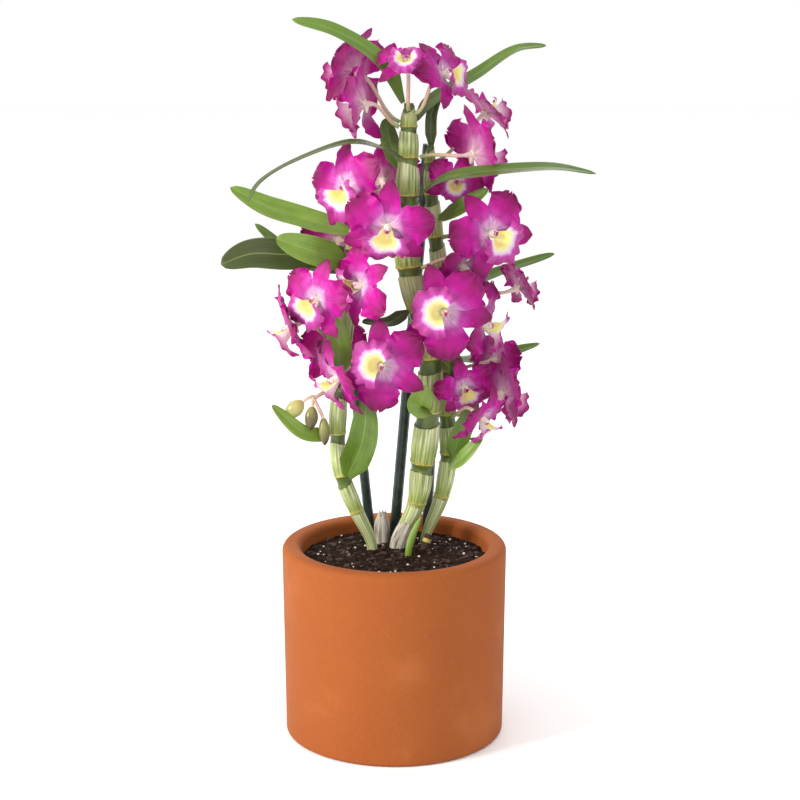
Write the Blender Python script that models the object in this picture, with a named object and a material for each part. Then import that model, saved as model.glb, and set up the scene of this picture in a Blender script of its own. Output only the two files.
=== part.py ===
"""A dendrobium orchid of the nobile type in a terracotta pot.

The origin is the centre of the pot's underside, +Z is up and the front of the
plant faces -Y. Places and sizes below are in millimetres, and MM turns them to
metres when a mesh is made.
"""
import math
import random

import bmesh
import bpy
from mathutils import Matrix, Vector

MM = 0.001
GAP = 0.35

# The pot is a thick cylinder with a soft rim.
POT_HEIGHT = 139.0
POT_RADIUS = 78.5
POT_RIM_RADIUS = 80.0
POT_RIM_DROP = 17.0
POT_RIM_ROUND = 4.8
POT_FOOT_ROUND = 2.5
POT_INNER_TOP = 66.5
POT_INNER_FLOOR = 64.0
POT_FLOOR = 12.0
POT_SIDES = 36
DRAIN_COUNT = 3
DRAIN_RADIUS = 6.0
DRAIN_CIRCLE = 34.0

# The soil fills the pot to about 11 mm under the rim and rises to the middle.
SOIL_EDGE = 127.5
SOIL_MOUND = 3.0
SOIL_LUMP = 0.9
SOIL_RINGS = (0.36, 0.68, 0.90, 1.0)
STEM_FOOT = 104.0
STEM_CLEAR = 133.0
HOLE_SIDES = 12

# A cane's joints, from the soil up: x, y, z and radius. The first two stand upright.
CANES = {
    "cane_left": (
        (-16, 12, STEM_FOOT, 3.8), (-16, 12, STEM_CLEAR, 3.8), (-27, 7, 160, 5.2),
        (-37, 3, 188, 6.0), (-40, 0, 219, 6.0), (-38, 0, 252, 6.0), (-35, 0, 286, 5.8),
        (-31, 0, 320, 5.6), (-29, 0, 350, 4.6), (-28, 0, 364, 2.6),
    ),
    "cane_middle": (
        (3, 16, STEM_FOOT, 4.4), (3, 16, STEM_CLEAR, 4.4), (16, 12, 165, 6.8),
        (20, 8, 196, 9.0), (24, 5, 234, 9.2), (25, 5, 272, 8.8), (17, 5, 307, 8.4),
        (10, 5, 337, 9.0), (9, 5, 362, 8.8), (9, 5, 387, 8.6), (10, 5, 413, 6.9),
        (10, 5, 434, 6.2), (10, 5, 450, 3.4),
    ),
    "cane_right": (
        (22, 24, STEM_FOOT, 3.2), (22, 24, STEM_CLEAR, 3.2), (34, 21, 167, 5.6),
        (39, 20, 199, 6.6), (38, 20, 228, 6.4), (38, 20, 260, 6.4), (36, 20, 292, 6.2),
        (33, 20, 325, 6.0), (29, 20, 356, 5.8), (26, 20, 386, 5.2), (25, 20, 408, 4.0),
        (25, 20, 420, 2.4),
    ),
}
CANE_SIDES = 7
CANE_FIRST_RING = 2
# Shares of an internode, their thickness, and how far the ring slants: the
# jagged joint, the papery sheath with its bulge, its slanted mouth, then bare cane.
CANE_PROFILE = (
    (0.00, 1.06, 0.0), (0.40, 1.05, 0.0), (0.76, 1.00, 2.6), (0.80, 0.86, 2.6),
)

# The stakes: foot, top and radius.
STAKES = {
    "stake_middle": ((0, 42, STEM_FOOT), (24, 37, 419), 3.8),
    "stake_left": ((-18, 50, STEM_FOOT), (-36, 34, 322), 3.5),
    "stake_right": ((24, 46, STEM_FOOT), (31, 40, 300), 3.6),
}
STAKE_SIDES = 8

STUB_PLACE = (-9, 31)
STUB_RADII = ((STEM_FOOT, 4.6), (STEM_CLEAR - 2, 4.6), (140, 5.6), (147, 4.6), (152, 2.2))
SHOOT_PATH = ((10, -4, STEM_FOOT), (10, -4, STEM_CLEAR - 2), (12, -2, 141), (16, 0, 151), (19, 1, 157))
SHOOT_RADII = (2.2, 2.2, 2.4, 1.8, 0.6)

# The bud spray on the left cane: bud centres, directions, thickness and length.
BUD_JOINT = 249
BUD_FORK = (-55, -9, 247)
BUDS = (
    ((-70, -11, 239), (-0.75, -0.1, -0.65), 11.5, 16.0),
    ((-58, -13, 233), (-0.10, -0.2, -1.00), 9.5, 16.0),
    ((-49, -12, 223), (0.05, -0.1, -1.00), 8.0, 19.0),
)
BUD_STALK = 1.2

# A bloom of size 1, in millimetres.
SEPAL = {"length": 30.0, "width": 13.5}
PETAL = {"length": 29.0, "width": 24.0}
LIP_TUBE = 12.0
LIP_THROAT = 6.0
LIP_LIMB = 16.0
COLUMN_LENGTH = 8.0
COLUMN_RADIUS = 2.3
HUB_RADIUS = 2.9
PEDICEL_RADIUS = 1.3
OVARY_RADIUS = 1.8
BLADE_THICK = 0.9
SEPAL_STATIONS = (0.0, 0.16, 0.58, 1.0)
PETAL_STATIONS = (0.0, 0.14, 0.48, 0.82, 1.0)

# Blooms: centre, the compass side it faces (0 front, 90 right, 180 back, in
# degrees), how far it looks up, its turn in its own plane, its size, its cane
# and the height of the joint that carries it.
BLOOMS = {
    "bloom_01": ((9, -9, 477), -10, 55, 0, 0.70, "cane_middle", 446),
    "bloom_02": ((33, -10, 470), 55, 25, 20, 0.80, "cane_middle", 443),
    "bloom_03": ((-27, 16, 470), -125, 15, 0, 1.00, "cane_middle", 437),
    "bloom_04": ((-20, -2, 450), -110, 0, 10, 1.00, "cane_middle", 434),
    "bloom_05": ((54, 6, 415), 120, 5, 0, 1.05, "cane_middle", 413),
    "bloom_06": ((64, 45, 440), 110, 40, 0, 0.85, "cane_right", 408),
    "bloom_07": ((-30, -21, 395), -40, 5, 15, 1.00, "cane_middle", 387),
    "bloom_08": ((-40, 36, 352), -150, 0, 0, 0.90, "cane_left", 350),
    "bloom_09": ((-4, -36, 371), -5, -20, -10, 1.00, "cane_middle", 362),
    "bloom_10": ((42, 7, 395), 10, 15, -20, 0.64, "cane_right", 391),
    "bloom_11": ((66, -14, 363), 25, 5, 30, 1.00, "cane_right", 356),
    "bloom_12": ((46, -12, 341), 48, -30, 0, 0.82, "cane_middle", 337),
    "bloom_13": ((34, -32, 312), 5, 0, -105, 1.05, "cane_middle", 307),
    "bloom_14": ((49, 13, 323), 18, 50, 20, 0.70, "cane_right", 325),
    "bloom_15": ((61, -5, 298), 70, -5, 40, 0.97, "cane_right", 292),
    "bloom_16": ((87, 20, 320), 112, 22, 0, 0.72, "cane_right", 318),
    "bloom_17": ((71, 28, 266), 140, 0, 0, 0.80, "cane_right", 260),
    "bloom_18": ((49, -6, 254), 15, -15, 20, 0.68, "cane_right", 260),
    "bloom_19": ((76, 8, 246), 115, 0, 0, 0.95, "cane_right", 228),
    "bloom_20": ((60, -22, 236), 60, -35, 0, 0.80, "cane_right", 228),
    "bloom_21": ((-52, -27, 319), -37, 5, -10, 0.90, "cane_left", 320),
    "bloom_22": ((-22, -32, 330), -50, 5, -60, 0.90, "cane_left", 320),
    "bloom_23": ((-70, -10, 298), -80, -20, 0, 0.95, "cane_left", 286),
    "bloom_24": ((-42, 21, 274), -150, -10, 0, 0.85, "cane_left", 286),
    "bloom_25": ((-38, -24, 265), -65, -25, -20, 0.95, "cane_left", 252),
    "bloom_26": ((-8, -38, 276), -5, 0, -120, 1.00, "cane_middle", 272),
    "bloom_27": ((-8, 38, 393), -170, 10, 0, 0.90, "cane_middle", 387),
}
PEDICEL_SIDES = 5

# Leaves: cane, joint height, points of the rib after the joint, the side that
# the upper face looks to, and width.
LEAVES = {
    "leaf_01": ("cane_middle", 450, ((-8, 3, 478), (-39, 6, 498), (-69, 8, 506)), (0.5, -1, 0.6), 12),
    "leaf_02": ("cane_middle", 437, ((27, 20, 451), (57, 34, 467), (84, 40, 484), (106, 44, 487)),
                (-0.3, -0.7, 1), 12),
    "leaf_03": ("cane_right", 418, ((26, 24, 440), (32, 27, 456)), (0, -1, 0.3), 8),
    "leaf_04": ("cane_middle", 387, ((34, -12, 400), (58, -20, 405), (105, -24, 409), (136, -24, 405)),
                (0, -0.5, 1), 13),
    "leaf_05": ("cane_middle", 413, ((-9, -14, 421), (-32, -20, 425), (-67, -22, 413), (-89, -22, 400),
                                     (-99, -22, 386)), (0, -0.15, 1), 11),
    "leaf_06": ("cane_left", 362, ((-63, 12, 370), (-89, 14, 378), (-114, 16, 391)), (0.2, -1, 0.7), 17),
    "leaf_07": ("cane_left", 348, ((-72, -4, 347), (-98, -8, 348), (-119, -10, 341)), (0, -1, 0.3), 22),
    "leaf_08": ("cane_left", 343, ((-54, -20, 351), (-80, -26, 361)), (0.3, -1, 0.5), 21),
    "leaf_09": ("cane_left", 333, ((-68, 22, 340), (-98, 28, 364)), (0, -1, 0.5), 9),
    "leaf_10": ("cane_left", 262, ((-38, -22, 284), (-42, -20, 306)), (0.4, -1, 0.2), 18),
    "leaf_11": ("cane_middle", 307, ((-3, -12, 301), (-22, -22, 303)), (0, -0.7, 0.8), 10),
    "leaf_13": ("cane_left", 219, ((-64, -14, 223), (-85, -20, 244)), (0.3, -1, 0.6), 11),
    "leaf_14": ("cane_left", 188, ((-22, -20, 219), (-19, -24, 250)), (0, -1, 0.1), 21),
    "leaf_15": ("cane_left", 168, ((-36, 25, 173), (-40, 30, 181)), (-0.3, -1, 0.2), 9),
    "leaf_16": ("cane_middle", 240, ((18, -14, 243), (23, -22, 258)), (0, -1, 0.5), 18),
    "leaf_17": ("cane_right", 199, ((47, 4, 218), (58, -2, 243)), (0.2, -1, 0.2), 15),
    "leaf_18": ("cane_right", 196, ((46, -12, 202), (62, -18, 221)), (-0.6, -0.8, 0.6), 12),
    "leaf_19": ("cane_right", 325, ((60, 44, 322), (86, 50, 330), (115, 52, 339)), (0, -0.6, 1), 11),
    "leaf_20": ("cane_right", 266, ((60, 48, 262), (84, 54, 266), (106, 54, 273)), (0, -0.7, 1), 11),
    "leaf_21": ("cane_middle", 283, ((43, -4, 268), (37, -8, 249)), (0.4, -1, 0), 12),
    "leaf_22": ("cane_right", 370, ((46, -8, 380), (64, -12, 393)), (-0.4, -0.8, 0.6), 13),
    "leaf_23": ("cane_middle", 404, ((-3, 20, 423), (-6, 24, 438)), (0, -1, 0.3), 13),
}
LEAF_STATIONS = (0.0, 0.14, 0.40, 0.66, 0.88, 1.0)
LEAF_THICK = 1.1
LEAF_FOLD = 0.22


def remove_all_objects():
    for item in list(bpy.data.objects):
        bpy.data.objects.remove(item, do_unlink=True)


def material(name, colour, roughness):
    """A Principled material for one kind of surface."""
    made = bpy.data.materials.get(name)
    if made:
        return made
    made = bpy.data.materials.new(name)
    made.use_nodes = True
    shader = made.node_tree.nodes["Principled BSDF"]
    shader.inputs["Base Color"].default_value = (*colour, 1.0)
    shader.inputs["Roughness"].default_value = roughness
    shader.inputs["Metallic"].default_value = 0.0
    made.diffuse_color = (*colour, 1.0)
    return made


def terracotta():
    return material("terracotta", (0.65, 0.24, 0.09), 0.75)


def potting_soil():
    return material("potting_soil", (0.035, 0.022, 0.016), 0.95)


def cane_skin():
    return material("cane_skin", (0.25, 0.32, 0.10), 0.5)


def leaf_green():
    return material("leaf_green", (0.10, 0.22, 0.04), 0.45)


def petal_magenta():
    return material("petal_magenta", (0.55, 0.02, 0.30), 0.55)


def stake_green():
    return material("stake_green", (0.01, 0.05, 0.03), 0.4)


def dry_sheath():
    return material("dry_sheath", (0.55, 0.50, 0.38), 0.8)


def mesh_object(name, points, faces, skin):
    """Link one object whose points are in millimetres, with its faces pointing out."""
    mesh = bpy.data.meshes.new(name)
    mesh.from_pydata([Vector(p) * MM for p in points], [], faces)
    work = bmesh.new()
    work.from_mesh(mesh)
    bmesh.ops.recalc_face_normals(work, faces=work.faces)
    work.to_mesh(mesh)
    work.free()
    mesh.materials.append(skin)
    item = bpy.data.objects.new(name, mesh)
    bpy.context.scene.collection.objects.link(item)
    return item


def turned(profile, sides):
    """Turn (radius, height) points round the Z axis. The profile is a closed loop."""
    points = []
    for radius, height in profile:
        for k in range(sides):
            turn = 2 * math.pi * k / sides
            points.append((radius * math.cos(turn), radius * math.sin(turn), height))
    faces = []
    rows = len(profile)
    for row in range(rows):
        below = row * sides
        above = ((row + 1) % rows) * sides
        for k in range(sides):
            n = (k + 1) % sides
            faces.append((below + k, below + n, above + n, above + k))
    return points, faces


def arc(centre, radius, start, end, steps):
    """Points (radius, height) on an arc, its angles in degrees."""
    found = []
    for k in range(steps + 1):
        turn = math.radians(start + (end - start) * k / steps)
        found.append((centre[0] + radius * math.cos(turn), centre[1] + radius * math.sin(turn)))
    return found


def tube(path, radii, sides, slants=None):
    """A closed tube along a path, with rings that can lean like a sheath's mouth."""
    path = [Vector(p) for p in path]
    side = None
    points = []
    for k, place in enumerate(path):
        ahead = path[min(k + 1, len(path) - 1)]
        behind = path[max(k - 1, 0)]
        along = (ahead - behind).normalized()
        if side is None:
            guide = Vector((1, 0, 0)) if abs(along.x) < 0.8 else Vector((0, 1, 0))
            side = guide
        side = (side - along * side.dot(along)).normalized()
        other = along.cross(side)
        lean = slants[k] if slants else 0.0
        for n in range(sides):
            turn = 2 * math.pi * n / sides
            offset = side * math.cos(turn) + other * math.sin(turn)
            points.append(place + offset * radii[k] + along * lean * math.cos(turn - 0.9))
    faces = []
    for k in range(len(path) - 1):
        for n in range(sides):
            m = (n + 1) % sides
            faces.append((k * sides + n, k * sides + m, (k + 1) * sides + m, (k + 1) * sides + n))
    last = (len(path) - 1) * sides
    faces.append(tuple(reversed(range(sides))))
    faces.append(tuple(range(last, last + sides)))
    return points, faces


def lens_blade(grid, thickness):
    """A thin blade over a grid of points, thickest inside and fine at its edge.

    Both faces are split into the same triangles, so waves never cross.
    """
    rows = len(grid)
    columns = len(grid[0])
    points = []
    front = {}
    back = {}
    for i in range(rows):
        for j in range(columns):
            place = grid[i][j]
            inside = 0 < i < rows - 1 and 0 < j < columns - 1
            if not inside:
                front[i, j] = back[i, j] = len(points)
                points.append(place)
                continue
            along = grid[i + 1][j] - grid[i - 1][j]
            across = grid[i][j + 1] - grid[i][j - 1]
            normal = along.cross(across).normalized() * thickness / 2
            front[i, j] = len(points)
            points.append(place + normal)
            back[i, j] = len(points)
            points.append(place - normal)
    faces = []
    for i in range(rows - 1):
        for j in range(columns - 1):
            for layer, flip in ((front, False), (back, True)):
                a = layer[i, j]
                b = layer[i + 1, j]
                c = layer[i + 1, j + 1]
                d = layer[i, j + 1]
                near_root = i < (rows - 1) / 2
                near_left = j < (columns - 1) / 2
                if near_root == near_left:
                    pair = [(a, b, c), (a, c, d)]
                else:
                    pair = [(a, b, d), (b, c, d)]
                for face in pair:
                    faces.append(tuple(reversed(face)) if flip else face)
    return points, faces


def smooth_path(knots, share):
    """A point on a smooth curve through the knots, with share running from 0 to 1."""
    spans = len(knots) - 1
    place = min(share * spans, spans - 1e-6)
    k = int(place)
    t = place - k
    b = knots[k]
    c = knots[k + 1]
    a = knots[k - 1] if k > 0 else b * 2 - c
    d = knots[k + 2] if k + 2 <= spans else c * 2 - b
    return 0.5 * (2 * b + (c - a) * t + (2 * a - 5 * b + 4 * c - d) * t * t
                  + (3 * b - a - 3 * c + d) * t * t * t)


def fused(name, solids, skin):
    """Join closed solids into one body with one Boolean union, then drop the rest."""
    group = bpy.data.collections.new(name + "_pieces")
    bpy.context.scene.collection.children.link(group)
    body = mesh_object(name, solids[0][0], solids[0][1], skin)
    for points, faces in solids[1:]:
        item = mesh_object(name + "_piece", points, faces, skin)
        bpy.context.scene.collection.objects.unlink(item)
        group.objects.link(item)
    union = body.modifiers.new("join", "BOOLEAN")
    union.operation = "UNION"
    union.operand_type = "COLLECTION"
    union.collection = group
    union.solver = "EXACT"
    bake(body)
    keep_one_shell(body)
    for item in list(group.objects):
        bpy.data.objects.remove(item, do_unlink=True)
    bpy.data.collections.remove(group)
    return body


def bake(body):
    """Apply the modifiers and leave a clean triangle mesh."""
    bpy.context.view_layer.update()
    graph = bpy.context.evaluated_depsgraph_get()
    mesh = bpy.data.meshes.new_from_object(body.evaluated_get(graph))
    body.modifiers.clear()
    body.data = mesh
    work = bmesh.new()
    work.from_mesh(mesh)
    bmesh.ops.triangulate(work, faces=work.faces)
    work.to_mesh(mesh)
    work.free()


def keep_one_shell(body):
    """Fill pockets that the union sealed, and drop loose scraps: keep the largest shell."""
    work = bmesh.new()
    work.from_mesh(body.data)
    left = set(work.faces)
    shells = []
    while left:
        shell = []
        front = [left.pop()]
        while front:
            face = front.pop()
            shell.append(face)
            for edge in face.edges:
                for other in edge.link_faces:
                    if other in left:
                        left.discard(other)
                        front.append(other)
        shells.append(shell)
    shells.sort(key=len)
    for shell in shells[:-1]:
        bmesh.ops.delete(work, geom=shell, context="FACES")
    work.to_mesh(body.data)
    work.free()


def cut_away(body, cutters):
    """Cut closed solids out of a body."""
    group = bpy.data.collections.new(body.name + "_cutters")
    bpy.context.scene.collection.children.link(group)
    for points, faces in cutters:
        item = mesh_object("cutter", points, faces, body.data.materials[0])
        item.hide_render = True
        item.display_type = "WIRE"
        bpy.context.scene.collection.objects.unlink(item)
        group.objects.link(item)
    cut = body.modifiers.new("cut", "BOOLEAN")
    cut.operation = "DIFFERENCE"
    cut.operand_type = "COLLECTION"
    cut.collection = group
    cut.solver = "EXACT"
    bake(body)
    for item in list(group.objects):
        bpy.data.objects.remove(item, do_unlink=True)
    bpy.data.collections.remove(group)


def shade_round(item, sharp=35):
    item.data.shade_smooth()
    item.data.set_sharp_from_angle(angle=math.radians(sharp))


def build_pot():
    """The turned terracotta wall, floor and rounded rim, with drain holes."""
    inner_slope = (POT_INNER_TOP - POT_INNER_FLOOR) / (POT_HEIGHT - POT_FLOOR)
    foot = POT_FOOT_ROUND
    rim = POT_RIM_ROUND
    profile = [(20.0, 0.0)]
    profile += arc((POT_RADIUS - foot, foot), foot, -90, 0, 2)
    profile.append((POT_RADIUS, POT_HEIGHT - POT_RIM_DROP))
    profile += arc((POT_RIM_RADIUS - rim, POT_HEIGHT - rim), rim, 0, 90, 3)
    profile += arc((POT_INNER_TOP + rim, POT_HEIGHT - rim), rim, 90, 180, 2)
    profile.append((POT_INNER_FLOOR, POT_FLOOR))
    profile.append((20.0, POT_FLOOR))
    points, faces = turned(profile, POT_SIDES)
    rows = len(profile)
    faces = [f for f in faces if not (min(f) < POT_SIDES and max(f) >= (rows - 1) * POT_SIDES)]
    faces.append(tuple(reversed(range(POT_SIDES))))
    faces.append(tuple(range((rows - 1) * POT_SIDES, rows * POT_SIDES)))
    pot = mesh_object("pot", points, faces, terracotta())
    holes = []
    for k in range(DRAIN_COUNT):
        turn = 2 * math.pi * (k + 0.25) / DRAIN_COUNT
        x = DRAIN_CIRCLE * math.cos(turn)
        y = DRAIN_CIRCLE * math.sin(turn)
        holes.append(tube(((x, y, -5), (x, y, POT_FLOOR + 5)), (DRAIN_RADIUS, DRAIN_RADIUS), 10))
    cut_away(pot, holes)
    shade_round(pot)
    return pot, inner_slope


def soil_height(x, y):
    """The soil's surface: a low mound with lumps."""
    share = math.hypot(x, y) / POT_INNER_TOP
    lump = math.sin(x * 0.31 + 1.3) * math.cos(y * 0.27 - 0.6) + 0.6 * math.sin(x * 0.17 - y * 0.44)
    return SOIL_EDGE + SOIL_MOUND * (1 - share * share) + SOIL_LUMP * lump


def hole_for(x, y, radius):
    """A plain round hole in the soil for a stem of this radius."""
    wide = (radius + GAP) / math.cos(math.pi / HOLE_SIDES)
    return tube(((x, y, STEM_FOOT - GAP), (x, y, STEM_CLEAR + 8)), (wide, wide), HOLE_SIDES)


def build_soil(inner_slope):
    """The potting mix, with one hole for each stem and stake."""
    top_wide = POT_INNER_TOP - GAP - inner_slope * (POT_HEIGHT - SOIL_EDGE)
    low = POT_FLOOR + GAP
    points = [(0, 0, low)]
    for k in range(POT_SIDES):
        turn = 2 * math.pi * k / POT_SIDES
        wide = POT_INNER_FLOOR - GAP
        points.append((wide * math.cos(turn), wide * math.sin(turn), low))
    rings = list(reversed(SOIL_RINGS))
    for share in rings:
        for k in range(POT_SIDES):
            turn = 2 * math.pi * k / POT_SIDES
            x = top_wide * share * math.cos(turn)
            y = top_wide * share * math.sin(turn)
            height = soil_height(x, y) if share < 1 else SOIL_EDGE
            points.append((x, y, height))
    points.append((0, 0, soil_height(0, 0)))
    top = len(points) - 1
    faces = []
    for k in range(POT_SIDES):
        n = (k + 1) % POT_SIDES
        faces.append((0, 1 + n, 1 + k))
        for row in range(len(rings)):
            a = 1 + row * POT_SIDES
            b = a + POT_SIDES
            faces.append((a + k, a + n, b + n))
            faces.append((a + k, b + n, b + k))
        faces.append((top - POT_SIDES + k, top - POT_SIDES + n, top))
    soil = mesh_object("soil", points, faces, potting_soil())
    holes = [hole_for(*joints[0][:2], joints[0][3]) for joints in CANES.values()]
    for foot, top_end, radius in STAKES.values():
        holes.append(hole_for(foot[0], foot[1], radius))
    holes.append(hole_for(*STUB_PLACE, STUB_RADII[0][1]))
    holes.append(hole_for(*SHOOT_PATH[0][:2], SHOOT_RADII[0]))
    cut_away(soil, holes)
    return soil


def cane_at(cane, height):
    """The middle and radius of a cane at a height."""
    joints = CANES[cane]
    for low, high in zip(joints, joints[1:]):
        if height <= high[2]:
            break
    t = (height - low[2]) / (high[2] - low[2])
    t = min(max(t, 0.0), 1.0)
    here = [a + (b - a) * t for a, b in zip(low, high)]
    return Vector(here[:3]), here[3]


def build_cane(name):
    """One jointed cane, with its scar rings, sheaths and bare bands."""
    joints = CANES[name]
    path = [joints[0][:3], joints[1][:3]]
    radii = [joints[0][3], joints[1][3]]
    slants = [0.0, 0.0]
    for k in range(CANE_FIRST_RING, len(joints) - 1):
        low = Vector(joints[k][:3])
        high = Vector(joints[k + 1][:3])
        for share, thick, slant in CANE_PROFILE:
            path.append(low.lerp(high, share))
            radius = joints[k][3] + (joints[k + 1][3] - joints[k][3]) * share
            radii.append(radius * thick)
            slants.append(slant if k % 2 else -slant)
    path.append(joints[-1][:3])
    radii.append(joints[-1][3])
    slants.append(0.0)
    points, faces = tube(path, radii, CANE_SIDES, slants)
    item = mesh_object(name, points, faces, cane_skin())
    shade_round(item, 50)
    return item


def build_stake(name):
    """A straight stake whose foot stands upright in its hole."""
    foot, top, radius = STAKES[name]
    clear = (foot[0], foot[1], STEM_CLEAR)
    points, faces = tube((foot, clear, top), (radius,) * 3, STAKE_SIDES)
    item = mesh_object(name, points, faces, stake_green())
    shade_round(item, 60)
    return item


def build_stub():
    """The dry back bulb between the canes."""
    path = [(STUB_PLACE[0], STUB_PLACE[1], z) for z, radius in STUB_RADII]
    points, faces = tube(path, [radius for z, radius in STUB_RADII], 8)
    item = mesh_object("back_bulb", points, faces, dry_sheath())
    shade_round(item, 50)
    return item


def build_shoot():
    points, faces = tube(SHOOT_PATH, SHOOT_RADII, 6)
    item = mesh_object("young_shoot", points, faces, leaf_green())
    shade_round(item, 60)
    return item


def from_cane(cane, height, towards):
    """Where a stalk leaves a cane on its way to a point, just clear of the cane's skin."""
    middle, radius = cane_at(cane, height)
    out = Vector(towards) - middle
    out.z = 0.0
    out.normalize()
    return middle + out * (radius * 1.07 + GAP), out


def curve_between(start, leave, end, arrive, steps):
    """Points on a smooth stalk that leaves and arrives in the given directions."""
    reach = (end - start).length
    a = start + leave * reach * 0.35
    b = end - arrive * reach * 0.35
    found = []
    for k in range(steps + 1):
        t = k / steps
        s = 1 - t
        found.append(start * s ** 3 + a * 3 * s * s * t + b * 3 * s * t * t + end * t ** 3)
    return found


def petal_outline(u, narrow):
    """Half width against length: narrow sepals, and petals widest past the middle."""
    foot, widest = (0.20, 0.42) if narrow else (0.13, 0.55)
    rise = min(u / widest, 1.0)
    rise = rise * rise * (3 - 2 * rise)
    past = max(0.0, (u - widest) / (1 - widest))
    blunt = 0.93 if narrow else 0.90
    return (foot + (1 - foot) * rise) * math.sqrt(1 - (blunt * past) ** 2)


def tepal(angle, size, narrow, draw):
    """One sepal or petal as a grid of points in the bloom's own frame."""
    shape = SEPAL if narrow else PETAL
    length = shape["length"] * size
    half = shape["width"] * size / 2
    out = Vector((math.cos(angle), math.sin(angle), 0))
    side = Vector((-math.sin(angle), math.cos(angle), 0))
    front = Vector((0, 0, 1))
    bend = draw.uniform(-0.16, 0.02) if narrow else draw.uniform(-0.10, 0.06)
    phase = draw.uniform(0, 2 * math.pi)
    columns = 2 if narrow else 3
    lift = -0.6 if narrow else 0.9
    grid = []
    for u in (SEPAL_STATIONS if narrow else PETAL_STATIONS):
        row = []
        for j in range(columns + 1):
            v = 2 * j / columns - 1
            reach = 1.0 + u * length * (1 - 0.06 * v * v)
            wave = 0.0 if narrow else 0.085 * math.sin(7.5 * u + 2.1 * v + phase)
            depth = lift + length * (0.10 * math.sin(math.pi * u) + bend * u * u + wave * v * v * u)
            depth += (0.10 if narrow else -0.05) * half * v * v
            row.append(out * reach + side * half * petal_outline(u, narrow) * v + front * depth)
        grid.append(row)
    return grid


def lip(size, draw):
    """The lip: a short tube round the column that opens to a wide ruffled limb."""
    along = Vector((0, -0.34, 0.94)).normalized()
    down = Vector((0, -0.94, -0.34)).normalized()
    side = Vector((1, 0, 0))
    phase = draw.uniform(0, 2 * math.pi)
    stations = ((0.0, 2.2, 1.0, 200), (0.55, LIP_THROAT, LIP_TUBE, 258),
                (1.0, LIP_LIMB, LIP_TUBE + 2.5, 250))
    columns = 6
    grid = []
    for u, radius, depth, span in stations:
        row = []
        for j in range(columns + 1):
            v = 2 * j / columns - 1
            turn = math.radians(span / 2) * v
            wide = radius
            deep = depth
            if u > 0.9:
                wide *= 0.92 + 0.16 * math.cos(turn) + 0.05 * math.sin(5 * turn + phase)
                deep += 1.6 * math.sin(4 * turn + phase) - 1.5 * math.cos(turn)
            ray = down * math.cos(turn) + side * math.sin(turn)
            row.append((along * deep + ray * wide) * size)
        grid.append(row)
    return grid


def bloom_frame(centre, compass, up_tilt, turn):
    """The bloom's own frame: X right, Y to the top sepal, Z out of the face."""
    a = math.radians(compass)
    e = math.radians(up_tilt)
    front = Vector((math.sin(a) * math.cos(e), -math.cos(a) * math.cos(e), math.sin(e)))
    guide = Vector((0, 0, 1)) if abs(up_tilt) < 80 else Vector((0, 1, 0))
    right = guide.cross(front).normalized()
    top = front.cross(right).normalized()
    place = Matrix((right, top, front)).transposed().to_4x4()
    place = Matrix.Translation(Vector(centre)) @ place @ Matrix.Rotation(math.radians(turn), 4, "Z")
    return place, front


def bloom_solids(name, thick=BLADE_THICK):
    """One bloom with its stalk: three sepals, two petals, the lip and the column."""
    centre, compass, up_tilt, turn, size, cane, joint = BLOOMS[name]
    draw = random.Random(name)
    place, front = bloom_frame(centre, compass, up_tilt, turn)
    grids = []
    for degrees in (90, 218, 322):
        angle = math.radians(degrees + draw.uniform(-6, 6))
        grids.append(tepal(angle, size, True, draw))
    for degrees in (158, 22):
        angle = math.radians(degrees + draw.uniform(-6, 6))
        grids.append(tepal(angle, size, False, draw))
    grids.append(lip(size, draw))
    solids = []
    for grid in grids:
        world = [[place @ p for p in row] for row in grid]
        solids.append(lens_blade(world, thick))
    hub = Vector(centre)
    start, leave = from_cane(cane, joint, hub)
    leave = (leave + Vector((0, 0, 0.35))).normalized()
    stalk = curve_between(start, leave, hub - front * 4.5, front, 3)
    path = stalk + [hub, hub + front * 4 * size, hub + front * COLUMN_LENGTH * size]
    radii = [PEDICEL_RADIUS] * 3 + [OVARY_RADIUS, HUB_RADIUS, COLUMN_RADIUS,
                                    COLUMN_RADIUS * 0.8]
    solids.insert(0, tube(path, radii, PEDICEL_SIDES))
    return solids


def build_bloom(name):
    """Fuse a bloom's petals, sepals, lip, column and stalk into one body."""
    item = fused(name, bloom_solids(name), petal_magenta())
    shade_round(item, 70)
    return item


def leaf_width(u):
    """A strap leaf: a narrow foot, even sides and a blunt point."""
    return min(1.0, 0.34 + 3.2 * u) * max(0.0, 1 - u ** 4) ** 0.55 + 0.10 * u


def leaf_solid(name, thick=LEAF_THICK):
    """One folded strap leaf on a smooth rib."""
    cane, joint, knots, face, width = LEAVES[name]
    start, leave = from_cane(cane, joint, knots[0])
    ribs = [start] + [Vector(k) for k in knots]
    face = Vector(face).normalized()
    grid = []
    for u in LEAF_STATIONS:
        here = smooth_path(ribs, u)
        ahead = smooth_path(ribs, min(u + 0.02, 1.0))
        behind = smooth_path(ribs, max(u - 0.02, 0.0))
        along = (ahead - behind).normalized()
        across = along.cross(face).normalized()
        normal = across.cross(along).normalized()
        half = width / 2 * leaf_width(u)
        row = []
        for v in (-1, 0, 1):
            row.append(here + across * half * v + normal * LEAF_FOLD * half * abs(v))
        grid.append(row)
    return lens_blade(grid, thick)


def build_leaf(name):
    points, faces = leaf_solid(name)
    item = mesh_object(name, points, faces, leaf_green())
    shade_round(item, 60)
    return item


def bud(centre, direction, thick, length):
    """A plump bud along its own axis."""
    along = Vector(direction).normalized()
    middle = Vector(centre)
    shares = (-0.5, -0.36, 0.0, 0.36, 0.5)
    widths = (0.25, 0.74, 1.0, 0.62, 0.14)
    path = [middle + along * length * s for s in shares]
    return tube(path, [thick / 2 * w for w in widths], 7)


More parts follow.
